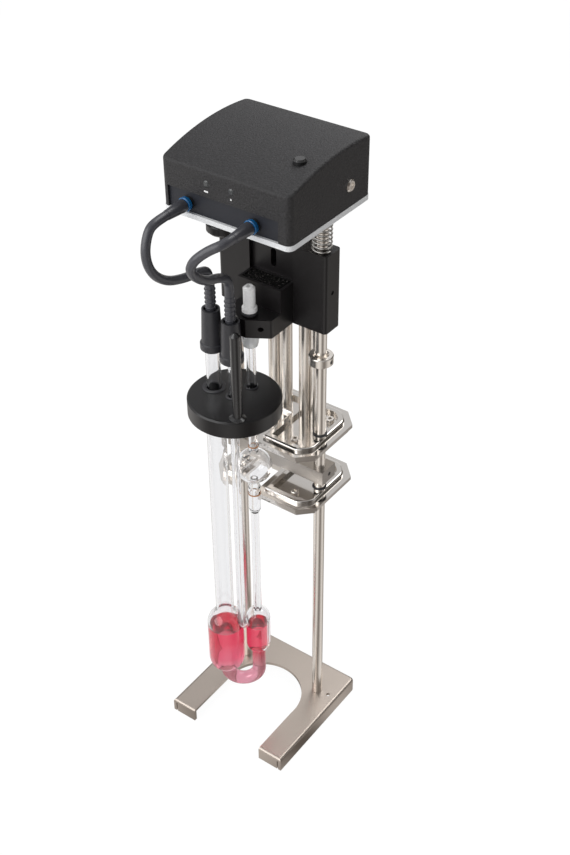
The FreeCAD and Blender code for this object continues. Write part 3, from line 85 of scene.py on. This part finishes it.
# One material or world while its nodes are laid
class Paint:
    def __init__(self, name, owner="materials"):
        self.material = getattr(bpy.data, owner).new(name)
        self.material.use_nodes = True
        self.tree = self.material.node_tree
        self.tree.nodes.clear()

    def node(self, kind, settings=None, inputs=None, output=0):
        made = self.tree.nodes.new(kind)
        for key, value in (settings or {}).items():
            setattr(made, key, value)
        for key, value in (inputs or {}).items():
            socket = made.inputs[key]
            if isinstance(value, Wire):
                self.tree.links.new(value.socket, socket)
            else:
                socket.default_value = value
        return Wire(self, made.outputs[output]) if len(made.outputs) else None

    def place(self, scale=(1.0, 1.0, 1.0)):
        coordinates = self.node("ShaderNodeTexCoord", output="Object")
        return self.node("ShaderNodeMapping", {}, {"Vector": coordinates, "Scale": scale})

    def noise(self, scale, detail=3.0, rough=0.55, stretch=(1.0, 1.0, 1.0)):
        return self.node("ShaderNodeTexNoise", {}, {
            "Vector": self.place(stretch), "Scale": scale, "Detail": detail,
            "Roughness": rough})

    def apart(self, way):
        parts = self.node("ShaderNodeSeparateXYZ", {}, {0: way}).socket.node
        return [Wire(self, socket) for socket in parts.outputs]

    # Sockets 0, 6, 7 and output 2 are the Mix node's factor and colours
    def blended(self, factor, low, high):
        ends = [end if isinstance(end, Wire) else (*end, 1.0) for end in (low, high)]
        return self.node("ShaderNodeMix", {"data_type": "RGBA"},
                         {0: factor, 6: ends[0], 7: ends[1]}, output=2)

    def bump(self, height, strength, distance):
        return self.node("ShaderNodeBump", {}, {
            "Height": height, "Strength": strength, "Distance": distance})

    def finish(self, **sockets):
        names = {"colour": "Base Color", "rough": "Roughness", "metal": "Metallic",
                 "normal": "Normal", "coat": "Coat Weight", "coatRough": "Coat Roughness",
                 "ior": "IOR", "clear": "Transmission Weight",
                 "specular": "Specular IOR Level"}
        values = {names[key]: (*value, 1.0) if isinstance(value, tuple) else value
                  for key, value in sockets.items()}
        surface = self.node("ShaderNodeBsdfPrincipled", {}, values)
        self.node("ShaderNodeOutputMaterial", {}, {"Surface": surface})
        return self.material


# Brushed or drawn metal: fine lines along the grain over soft clouds
steelLook = {"lineDetail": 2.0, "lineRough": 0.6, "clouds": 38.0, "lineShare": 0.5,
             "cloudShare": 0.5, "darker": 0.1, "lighter": 0.08, "lineDull": 0.12,
             "cloudDull": 0.08, "dullShift": 0.1, "lineBump": 0.35}


def steel(name, colour, rough, streaks, stretch=(1.0, 1.0, 1.0), depth=0.00001, wear=1.0):
    look = steelLook
    paint = Paint(name)
    lines = paint.noise(streaks, look["lineDetail"], look["lineRough"], stretch)
    clouds = paint.noise(look["clouds"])
    dark = tuple(c * (1.0 - look["darker"] * wear) for c in colour)
    light = tuple(min(1.0, c * (1.0 + look["lighter"] * wear)) for c in colour)
    mix = (lines * look["lineShare"] + clouds * look["cloudShare"]).clamped()
    dull = (lines * (look["lineDull"] * wear) + clouds * (look["cloudDull"] * wear)
            + (rough - look["dullShift"] * wear)).clamped()
    return paint.finish(colour=paint.blended(mix, dark, light), metal=1.0, rough=dull,
                        normal=paint.bump(lines, look["lineBump"], depth))


# Moulded plastic and rubber: pressed-in grain over soft clouds
mouldedLook = {"grainDetail": 4.0, "grainRough": 0.6, "clouds": 22.0, "grainShare": 1.4,
               "cloudShare": 0.4, "shareShift": 0.4, "grainDull": 0.14, "cloudDull": 0.08,
               "dullShift": 0.11, "coatRough": 0.12, "specular": 0.45}


def moulded(name, colour, rough, grain, depth, strength, coat=0.0, spread=(0.8, 1.25)):
    look = mouldedLook
    paint = Paint(name)
    grains = paint.noise(grain, look["grainDetail"], look["grainRough"])
    clouds = paint.noise(look["clouds"])
    dark = tuple(c * spread[0] for c in colour)
    light = tuple(min(1.0, c * spread[1]) for c in colour)
    mix = (grains * look["grainShare"] + clouds * look["cloudShare"]
           - look["shareShift"]).clamped()
    dull = (grains * look["grainDull"] + clouds * look["cloudDull"]
            + (rough - look["dullShift"])).clamped()
    return paint.finish(colour=paint.blended(mix, dark, light), coat=coat,
                        coatRough=look["coatRough"], specular=look["specular"], rough=dull,
                        normal=paint.bump(grains, strength, depth))


# streaks and grain are noise scales, and depth is the bump's height in metres
steels = {
    "footSteel": {"colour": (0.46, 0.405, 0.36), "rough": 0.42, "streaks": 260.0,
                  "stretch": (1.0, 14.0, 14.0)},
    "barSteel": {"colour": (0.44, 0.415, 0.39), "rough": 0.3, "streaks": 300.0,
                 "stretch": (1.0, 12.0, 12.0)},
    "brightSteel": {"colour": (0.84, 0.795, 0.745), "rough": 0.25, "streaks": 300.0,
                    "stretch": (4.0, 4.0, 0.3), "depth": 0.0000002, "wear": 0.25},
    "sheetSteel": {"colour": (0.70, 0.67, 0.635), "rough": 0.11, "streaks": 120.0,
                   "stretch": (1.0, 4.0, 4.0), "depth": 0.000002, "wear": 0.5},
    "springSteel": {"colour": (0.55, 0.54, 0.52), "rough": 0.22, "streaks": 300.0},
    "castAluminium": {"colour": (0.6, 0.6, 0.61), "rough": 0.4, "streaks": 700.0},
    "turnedBrass": {"colour": (0.62, 0.45, 0.2), "rough": 0.3, "streaks": 400.0},
}
mouldings = {
    "headGrain": {"colour": (0.0125, 0.012, 0.013), "rough": 0.56, "grain": 800.0,
                  "depth": 0.0006, "strength": 1.0, "spread": (0.2, 2.8)},
    "baseWhite": {"colour": (0.70, 0.71, 0.72), "rough": 0.34, "grain": 1500.0,
                  "depth": 0.00001, "strength": 0.3},
    "panelSlate": {"colour": (0.013, 0.0145, 0.021), "rough": 0.5, "grain": 1400.0,
                   "depth": 0.00004, "strength": 0.4},
    "discBlack": {"colour": (0.005, 0.0045, 0.0052), "rough": 0.33, "grain": 1500.0,
                  "depth": 0.00002, "strength": 0.3},
    "blockBlack": {"colour": (0.0075, 0.0065, 0.007), "rough": 0.36, "grain": 700.0,
                   "depth": 0.00004, "strength": 0.4},
    "hoseRubber": {"colour": (0.05, 0.051, 0.06), "rough": 0.38, "grain": 1200.0,
                   "depth": 0.00003, "strength": 0.4, "coat": 0.3},
    "capRubber": {"colour": (0.03, 0.03, 0.034), "rough": 0.40, "grain": 900.0,
                  "depth": 0.00005, "strength": 0.5},
    "buttonGloss": {"colour": (0.009, 0.0088, 0.0095), "rough": 0.26, "grain": 1500.0,
                    "depth": 0.00001, "strength": 0.2, "coat": 0.5},
    "colletBlue": {"colour": (0.004, 0.10, 0.27), "rough": 0.26, "grain": 1600.0,
                   "depth": 0.00001, "strength": 0.3, "coat": 0.4},
    "plugWhite": {"colour": (0.9, 0.9, 0.9), "rough": 0.3, "grain": 1500.0,
                  "depth": 0.00001, "strength": 0.3, "coat": 0.2},
    "lampSmoke": {"colour": (0.055, 0.058, 0.06), "rough": 0.16, "grain": 1500.0,
                  "depth": 0.00001, "strength": 0.2, "coat": 0.6},
    "markWhite": {"colour": (0.75, 0.75, 0.75), "rough": 0.45, "grain": 1600.0,
                  "depth": 0.00001, "strength": 0.2},
    "markOrange": {"colour": (0.52, 0.21, 0.06), "rough": 0.4, "grain": 1600.0,
                   "depth": 0.00001, "strength": 0.2},
    "screwBlack": {"colour": (0.02, 0.02, 0.02), "rough": 0.3, "grain": 900.0,
                   "depth": 0.00002, "strength": 0.3, "coat": 0.2},
    "boardGreen": {"colour": (0.012, 0.09, 0.045), "rough": 0.35, "grain": 500.0,
                   "depth": 0.00003, "strength": 0.4, "coat": 0.3},
}
finishes = {name: steel(name, **look) for name, look in steels.items()}
finishes.update({name: moulded(name, **look) for name, look in mouldings.items()})


def foamFinish():
    look = {"cells": 720.0, "crumbs": 1.2, "crumbDetail": 5.0, "crumbRough": 0.7,
            "speckGain": 9.0, "speckShift": 5.1, "cellShare": 0.6, "bump": 1.0,
            "depth": 0.0007, "rough": 0.7, "specular": 0.1,
            "dark": (0.0012, 0.0012, 0.0012), "light": (0.24, 0.225, 0.215)}
    paint = Paint("foamBlack")
    cells = paint.node("ShaderNodeTexVoronoi", {}, {"Vector": paint.place(),
                                                    "Scale": look["cells"]})
    crumbs = paint.noise(look["cells"] * look["crumbs"], look["crumbDetail"],
                         look["crumbRough"])
    specks = (crumbs * look["speckGain"] - look["speckShift"]).clamped()
    return paint.finish(colour=paint.blended(specks, look["dark"], look["light"]),
                        rough=look["rough"], specular=look["specular"],
                        normal=paint.bump(cells * look["cellShare"] + crumbs, look["bump"],
                                          look["depth"]))


def glassFinish():
    look = {"colour": (0.965, 0.965, 0.972), "ripples": 60.0, "rippleDetail": 2.0,
            "dull": 0.02, "ior": 1.47, "bump": 0.04, "depth": 0.0001}
    paint = Paint("clearGlass")
    ripple = paint.noise(look["ripples"], look["rippleDetail"])
    return paint.finish(colour=look["colour"], rough=(ripple * look["dull"]).clamped(),
                        ior=look["ior"], clear=1.0,
                        normal=paint.bump(ripple, look["bump"], look["depth"]))


# Deep rose in the tank and the bulb, fading to a paler one in the U-bend below bendTop
def liquidFinish():
    look = {"bendTop": 0.066, "blend": 0.014, "deep": (0.94, 0.06, 0.13),
            "light": (0.97, 0.09, 0.17), "thin": (0.92, 0.40, 0.50), "ripples": 45.0,
            "rippleDetail": 2.0, "rough": 0.04, "ior": 1.25, "clear": 0.88}
    paint = Paint("sampleRose")
    ripple = paint.noise(look["ripples"], look["rippleDetail"])
    height = paint.apart(paint.place())[2]
    body = ((height - look["bendTop"] + look["blend"]) * (1.0 / look["blend"])).clamped()
    deep = paint.blended(ripple, look["deep"], look["light"])
    return paint.finish(colour=paint.blended(body, look["thin"], deep),
                        rough=look["rough"], ior=look["ior"], clear=look["clear"])


def milkyFinish():
    look = {"haze": 80.0, "hazeDetail": 2.0, "low": (0.93, 0.94, 0.95),
            "high": (0.97, 0.98, 0.98), "rough": 0.28, "ior": 1.3, "clear": 0.6}
    paint = Paint("cupMilky")
    haze = paint.noise(look["haze"], look["hazeDetail"])
    return paint.finish(colour=paint.blended(haze, look["low"], look["high"]),
                        rough=look["rough"], ior=look["ior"], clear=look["clear"])


finishes["foamBlack"] = foamFinish()
finishes["clearGlass"] = glassFinish()
finishes["sampleRose"] = liquidFinish()
finishes["cupMilky"] = milkyFinish()

nodeFinish = {
    "footSteel": ["foot_plate"],
    "barSteel": ["clamp_bar"],
    "brightSteel": ["left_post", "right_post", "post_fasteners", "stop_collar_left",
                    "stop_collar_right", "pod_screws", "sensor_tube_1",
                    "sensor_tube_2", "sensor_tube_3", "sensor_tube_4", "cover_screws"],
    "sheetSteel": ["upper_pod_tray", "upper_pod_cover", "lower_pod_tray", "lower_pod_cover"],
    "springSteel": ["left_spring", "right_spring"],
    "headGrain": ["head_cover"],
    "baseWhite": ["head_base_plate"],
    "panelSlate": ["front_panel"],
    "discBlack": ["holder_disc", "clamp_knob"],
    "blockBlack": ["holder_block", "nose"],
    "hoseRubber": ["hose_left", "hose_right", "hose_boot_left", "hose_boot_right",
                   "hose_sleeve_left", "hose_sleeve_right"],
    "capRubber": ["tube_cap_left", "tube_cap_right", "disc_grommets", "post_rings",
                  "plug_seal"],
    "buttonGloss": ["top_button", "lift_rod"],
    "colletBlue": ["release_collet_left", "release_collet_right"],
    "plugWhite": ["tube_plug"],
    "lampSmoke": ["lamp_lenses"],
    "markWhite": ["indicator_marks"],
    "markOrange": ["timing_marks"],
    "screwBlack": ["grub_screws", "nose_screws", "hose_fittings", "button_switch",
                   "pressure_sensor"],
    "castAluminium": ["air_pump", "valve_block", "cover_brackets"],
    "turnedBrass": ["base_inserts"],
    "boardGreen": ["circuit_board"],
    "foamBlack": ["foam_pad"],
    "clearGlass": ["capillary_glass"],
    "sampleRose": ["sample_liquid"],
    "cupMilky": ["tube_cup"],
}
for finish, nodes in nodeFinish.items():
    for node in nodes:
        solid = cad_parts[node]
        solid.data.materials.clear()
        solid.data.materials.append(finishes[finish])
print("viscometer: finishes on", sum(len(v) for v in nodeFinish.values()), "nodes")


def addObject(name, data):
    made = bpy.data.objects.new(name, data)
    bpy.context.collection.objects.link(made)
    return made


# The plain mesh of an object with its curve or modifier worked out; the object goes
def meshOf(carrier):
    bpy.context.view_layer.update()
    evaluated = carrier.evaluated_get(bpy.context.evaluated_depsgraph_get())
    mesh = bpy.data.meshes.new_from_object(evaluated)
    bpy.data.objects.remove(carrier)
    return mesh


def newTree(name, inputs):
    tree = bpy.data.node_groups.new(name, "GeometryNodeTree")
    for label, kind, value in inputs:
        socket = tree.interface.new_socket(label, in_out="INPUT", socket_type=kind)
        if value is not None:
            socket.default_value = value
    tree.interface.new_socket("Geometry", in_out="OUTPUT", socket_type="NodeSocketGeometry")
    return tree


def treeNode(tree, kind, settings=None, inputs=None):
    made = tree.nodes.new(kind)
    for key, value in (settings or {}).items():
        setattr(made, key, value)
    for key, value in (inputs or {}).items():
        if isinstance(value, bpy.types.NodeSocket):
            tree.links.new(value, made.inputs[key])
        else:
            made.inputs[key].default_value = value
    return made


def closeTree(tree, geometry, material):
    realized = treeNode(tree, "GeometryNodeRealizeInstances", {}, {"Geometry": geometry})
    smooth = treeNode(tree, "GeometryNodeSetShadeSmooth", {},
                      {"Geometry": realized.outputs[0]})
    coloured = treeNode(tree, "GeometryNodeSetMaterial", {},
                        {"Geometry": smooth.outputs[0], "Material": material})
    end = tree.nodes.new("NodeGroupOutput")
    tree.links.new(coloured.outputs[0], end.inputs[0])


def grow(name, tree, values, place):
    carrier = addObject(name + "Carrier", bpy.data.meshes.new(name + "Carrier"))
    modifier = carrier.modifiers.new("grow", "NODES")
    modifier.node_group = tree
    for item in tree.interface.items_tree:
        if item.in_out == "INPUT" and item.name in values:
            modifier[item.identifier] = values[item.name]
    mesh = meshOf(carrier)
    mesh.name = name
    mesh.transform(Matrix.Translation(place))
    return addObject(name, mesh)


def coilTree():
    facets = {"perTurn": 48, "aroundWire": 12}
    tree = newTree("coilSpring", [
        ("Coil radius", "NodeSocketFloat", 0.006), ("Wire radius", "NodeSocketFloat", 0.0005),
        ("Turns", "NodeSocketFloat", 8.0), ("Height", "NodeSocketFloat", 0.02),
        ("Material", "NodeSocketMaterial", None)])
    start = tree.nodes.new("NodeGroupInput").outputs
    spiral = treeNode(tree, "GeometryNodeCurveSpiral", {}, {
        "Resolution": facets["perTurn"], "Rotations": start["Turns"],
        "Start Radius": start["Coil radius"], "End Radius": start["Coil radius"],
        "Height": start["Height"]})
    section = treeNode(tree, "GeometryNodeCurvePrimitiveCircle", {}, {
        "Resolution": facets["aroundWire"], "Radius": start["Wire radius"]})
    wire = treeNode(tree, "GeometryNodeCurveToMesh", {}, {
        "Curve": spiral.outputs[0], "Profile Curve": section.outputs[0], "Fill Caps": True})
    closeTree(tree, wire.outputs[0], start["Material"])
    return tree


# A round core with beads around it at an even pitch
def ribTree():
    facets = {"aroundCore": 40, "aroundBead": 14}
    tree = newTree("ribbedSleeve", [
        ("Core radius", "NodeSocketFloat", 0.003), ("Length", "NodeSocketFloat", 0.02),
        ("Rib radius", "NodeSocketFloat", 0.0005), ("First rib", "NodeSocketFloat", 0.005),
        ("Rib pitch", "NodeSocketFloat", 0.003), ("Ribs", "NodeSocketInt", 5),
        ("Material", "NodeSocketMaterial", None)])
    start = tree.nodes.new("NodeGroupInput").outputs
    top = treeNode(tree, "ShaderNodeCombineXYZ", {}, {"Z": start["Length"]})
    line = treeNode(tree, "GeometryNodeCurvePrimitiveLine", {}, {"End": top.outputs[0]})
    ring = treeNode(tree, "GeometryNodeCurvePrimitiveCircle", {}, {
        "Resolution": facets["aroundCore"], "Radius": start["Core radius"]})
    core = treeNode(tree, "GeometryNodeCurveToMesh", {}, {
        "Curve": line.outputs[0], "Profile Curve": ring.outputs[0], "Fill Caps": True})
    bead = treeNode(tree, "GeometryNodeCurvePrimitiveCircle", {}, {
        "Resolution": facets["aroundBead"], "Radius": start["Rib radius"]})
    rib = treeNode(tree, "GeometryNodeCurveToMesh", {}, {
        "Curve": ring.outputs[0], "Profile Curve": bead.outputs[0]})
    base = treeNode(tree, "ShaderNodeCombineXYZ", {}, {"Z": start["First rib"]})
    step = treeNode(tree, "ShaderNodeCombineXYZ", {}, {"Z": start["Rib pitch"]})
    places = treeNode(tree, "GeometryNodeMeshLine", {}, {
        "Count": start["Ribs"], "Start Location": base.outputs[0], "Offset": step.outputs[0]})
    ribs = treeNode(tree, "GeometryNodeInstanceOnPoints", {}, {
        "Points": places.outputs[0], "Instance": rib.outputs[0]})
    both = tree.nodes.new("GeometryNodeJoinGeometry")
    tree.links.new(core.outputs[0], both.inputs[0])
    tree.links.new(ribs.outputs[0], both.inputs[0])
    closeTree(tree, both.outputs[0], start["Material"])
    return tree


# The liquid's own solid, swollen along its normals until it wets the glass
def wetTree():
    tree = newTree("wettedLiquid", [
        ("Liquid", "NodeSocketObject", None), ("Wetting", "NodeSocketFloat", 0.0003),
        ("Material", "NodeSocketMaterial", None)])
    start = tree.nodes.new("NodeGroupInput").outputs
    liquid = treeNode(tree, "GeometryNodeObjectInfo", {}, {"Object": start["Liquid"]})
    outward = tree.nodes.new("GeometryNodeInputNormal")
    reach = treeNode(tree, "ShaderNodeVectorMath", {"operation": "SCALE"}, {
        0: outward.outputs[0], "Scale": start["Wetting"]})
    swollen = treeNode(tree, "GeometryNodeSetPosition", {}, {
        "Geometry": liquid.outputs["Geometry"], "Offset": reach.outputs[0]})
    closeTree(tree, swollen.outputs[0], start["Material"])
    return tree


# From the block's top to the head's underside, around each post
def makeSprings():
    spring = {"coilRadius": 0.006, "wireRadius": 0.00066, "turns": 8.5}
    tree = coilTree()
    wire = spring["wireRadius"]
    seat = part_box("holder_block")[1].z
    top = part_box("head_base_plate")[0].z
    for side in ("left", "right"):
        low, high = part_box(side + "_post")
        middle = (low + high) / 2
        piece = grow(side + "CoilSpring", tree, {
            "Coil radius": spring["coilRadius"], "Wire radius": wire, "Turns": spring["turns"],
            "Height": top - seat - 2 * wire, "Material": finishes["springSteel"]},
            (middle.x, middle.y, seat + wire))
        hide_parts(side + "_spring")
        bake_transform(piece)


def makeSleeves():
    sleeve = {"core": 0.0032, "rib": 0.00052, "firstRib": 0.0056, "pitch": 0.0032, "ribs": 5}
    tree = ribTree()
    for side in ("left", "right"):
        low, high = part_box("hose_sleeve_" + side)
        middle = (low + high) / 2
        piece = grow(side + "RibbedSleeve", tree, {
            "Core radius": sleeve["core"], "Length": high.z - low.z, "Rib radius": sleeve["rib"],
            "First rib": sleeve["firstRib"], "Rib pitch": sleeve["pitch"],
            "Ribs": sleeve["ribs"], "Material": finishes["hoseRubber"]},
            (middle.x, middle.y, low.z))
        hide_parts("hose_sleeve_" + side)
        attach(piece, "stand")


def makeLiquid():
    sample = {"wetting": 0.0003}
    piece = grow("wettedSample", wetTree(), {
        "Liquid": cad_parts["sample_liquid"], "Wetting": sample["wetting"],
        "Material": finishes["sampleRose"]}, (0.0, 0.0, 0.0))
    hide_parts("sample_liquid")
    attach(piece, "stand")


makeSprings()
makeSleeves()
makeLiquid()
print("viscometer: springs, sleeves and liquid grown")

# Route points in millimetres, from the boot on the head down to the ribbed sleeve
hoseRoutes = {
    "left": [(-28.4, -51.3, 449.5), (-28.4, -61.5, 449.5), (-28.4, -69.0, 446.5),
             (-27.8, -74.0, 433.0), (-25.7, -71.5, 420.0), (-23.5, -61.0, 410.5),
             (-20.8, -47.5, 407.3), (-19.3, -35.0, 406.5), (-19.0, -26.5, 403.3),
             (-19.0, -26.5, 394.0)],
    "right": [(21.0, -51.3, 449.5), (21.0, -59.0, 449.5), (11.5, -64.5, 444.0),
              (3.0, -68.0, 435.5), (-0.8, -65.5, 425.5), (1.2, -55.0, 416.0),
              (1.6, -42.0, 412.8), (-1.5, -31.0, 405.5), (-2.5, -27.5, 399.0),
              (-2.5, -27.5, 391.0)],
}


def makeHose(side):
    look = {"diameter": 0.006, "stepsPerPoint": 16, "roundness": 6, "headHold": 0.004}
    mmPerMetre = 1000
    points = [Vector(p) / mmPerMetre for p in hoseRoutes[side]]
    curve = bpy.data.curves.new(side + "HoseRoute", "CURVE")
    curve.dimensions = "3D"
    spline = curve.splines.new("NURBS")
    spline.points.add(len(points) - 1)
    for spot, point in zip(spline.points, points):
        spot.co = (*point, 1.0)
    spline.order_u = 3
    spline.use_endpoint_u = True
    spline.resolution_u = look["stepsPerPoint"]
    line = meshOf(addObject(side + "HoseLine", curve))  # no bevel yet: the hose's middle
    curve.bevel_depth = look["diameter"] / 2
    curve.bevel_resolution = look["roundness"]
    curve.use_fill_caps = True
    mesh = meshOf(addObject(side + "HoseTube", curve))
    mesh.materials.clear()
    mesh.materials.append(finishes["hoseRubber"])
    for polygon in mesh.polygons:
        polygon.use_smooth = True
    hose = addObject(side + "Hose", mesh)
    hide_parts("hose_" + side)
    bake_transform(hose)


makeHose("left")
makeHose("right")
print("viscometer: hoses routed")


# How bright the studio looks in each direction, with soft strips for the metal to show
def stripShare(paint, way, look):
    right, back, high = paint.apart(way)
    strips = right * back * (right * right - back * back) * look["strips"]
    return (right * look["fromRight"] + back * look["fromBack"] + high * look["fromTop"]
            + strips + look["base"]).clamped()


def grey(level):
    return (level,) * 3


# Seen straight it is white with a little matte for the shadow; metal sees strips on it
def makeFloor():
    floor = {"half": 6.0, "matte": 0.9, "seen": 1.04, "shadowShare": 0.08,
             "throughGlass": 0.93, "bright": (0.96, 0.93, 0.90), "dark": (0.12, 0.10, 0.085),
             "base": 0.66, "fromRight": -0.2, "fromBack": 0.0, "fromTop": 0.0, "strips": 1.5}
    paint = Paint("paleFloor")
    matte = paint.node("ShaderNodeBsdfDiffuse", {}, {"Color": (*grey(floor["matte"]), 1.0)})
    way = paint.node("ShaderNodeVectorMath", {"operation": "NORMALIZE"}, {0: paint.place()})
    mirrored = paint.blended(stripShare(paint, way, floor), floor["dark"], floor["bright"])
    path = paint.tree.nodes.new("ShaderNodeLightPath")
    seen = Wire(paint, path.outputs["Is Camera Ray"])
    through = Wire(paint, path.outputs["Transmission Depth"]).clamped()
    glossy = Wire(paint, path.outputs["Is Glossy Ray"])
    plain = paint.blended(through, grey(floor["seen"]), grey(floor["throughGlass"]))
    colour = paint.blended((glossy - through).clamped(), plain, mirrored)
    glow = paint.node("ShaderNodeEmission", {}, {"Color": colour})
    shown = (seen * (1.0 - floor["shadowShare"]) + glossy + through).clamped()
    surface = paint.node("ShaderNodeMixShader", {}, {0: shown, 1: matte, 2: glow})
    paint.node("ShaderNodeOutputMaterial", {}, {"Surface": surface})
    mesh = bpy.data.meshes.new("studioFloor")
    half = floor["half"]
    mesh.from_pydata([(-half, -half, 0), (half, -half, 0), (half, half, 0), (-half, half, 0)],
                     [], [(0, 1, 2, 3)])
    mesh.materials.append(paint.material)
    addObject("studioFloor", mesh)


def makeWorld():
    sky = {"seen": 1.0, "throughGlass": 0.93, "bright": (0.92, 0.92, 0.93),
           "dark": (0.07, 0.062, 0.054), "base": 0.25, "fromRight": -0.42, "fromBack": -0.2,
           "fromTop": 0.42, "strips": 2.4}
    paint = Paint("studioWorld", "worlds")
    bpy.context.scene.world = paint.material
    way = paint.node("ShaderNodeTexCoord", output="Generated")
    lit = paint.blended(stripShare(paint, way, sky), sky["dark"], sky["bright"])
    path = paint.tree.nodes.new("ShaderNodeLightPath")
    through = Wire(paint, path.outputs["Transmission Depth"]).clamped()
    seen = (Wire(paint, path.outputs["Is Camera Ray"]) + through).clamped()
    plain = paint.blended(through, grey(sky["seen"]), grey(sky["throughGlass"]))
    glow = paint.node("ShaderNodeBackground", {}, {"Color": paint.blended(seen, lit, plain)})
    paint.node("ShaderNodeOutputWorld", {}, {"Surface": glow})


def makeLamps():
    lamps = [
        {"name": "keyLamp", "place": (-0.5, -1.2, 1.0), "size": 1.7, "watts": 17.0},
        {"name": "topLamp", "place": (0.1, 0.9, 1.5), "size": 1.1, "watts": 10.0},
    ]
    aim = Vector((0.0, 0.0, 0.28))
    for lamp in lamps:
        data = bpy.data.lights.new(lamp["name"], "AREA")
        data.shape = "DISK"
        data.size = lamp["size"]
        data.energy = lamp["watts"]
        piece = addObject(lamp["name"], data)
        place = Vector(lamp["place"])
        piece.location = place
        piece.rotation_euler = (aim - place).to_track_quat("-Z", "Y").to_euler()


# Angles in degrees, distance and target in metres, lens and sensor in millimetres
def makeCamera():
    shot = {"azimuth": 36.19, "elevation": 37.14, "roll": -0.49, "distance": 0.91015,
            "target": (0.00483, 0.01962, 0.26308), "lens": 54.74, "sensor": 36.0,
            "nearest": 0.01}
    azimuth, elevation = math.radians(shot["azimuth"]), math.radians(shot["elevation"])
    roll = math.radians(shot["roll"])
    back = Vector((math.sin(azimuth) * math.cos(elevation),
                   -math.cos(azimuth) * math.cos(elevation), math.sin(elevation)))
    right = Vector((math.cos(azimuth), math.sin(azimuth), 0.0))
    up = back.cross(right)
    tilted = right * math.cos(roll) + up * math.sin(roll)
    upward = up * math.cos(roll) - right * math.sin(roll)
    data = bpy.data.cameras.new("photoCamera")
    data.sensor_width = shot["sensor"]
    data.lens = shot["lens"]
    data.clip_start = shot["nearest"]
    camera = addObject("photoCamera", data)
    turn = Matrix((tilted, upward, back)).transposed().to_4x4()
    place = Vector(shot["target"]) + back * shot["distance"]
    camera.matrix_world = Matrix.Translation(place) @ turn
    bpy.context.scene.camera = camera


makeFloor()
makeWorld()
makeLamps()
makeCamera()
bpy.context.scene.view_settings.view_transform = "Standard"
print("viscometer: studio ready")
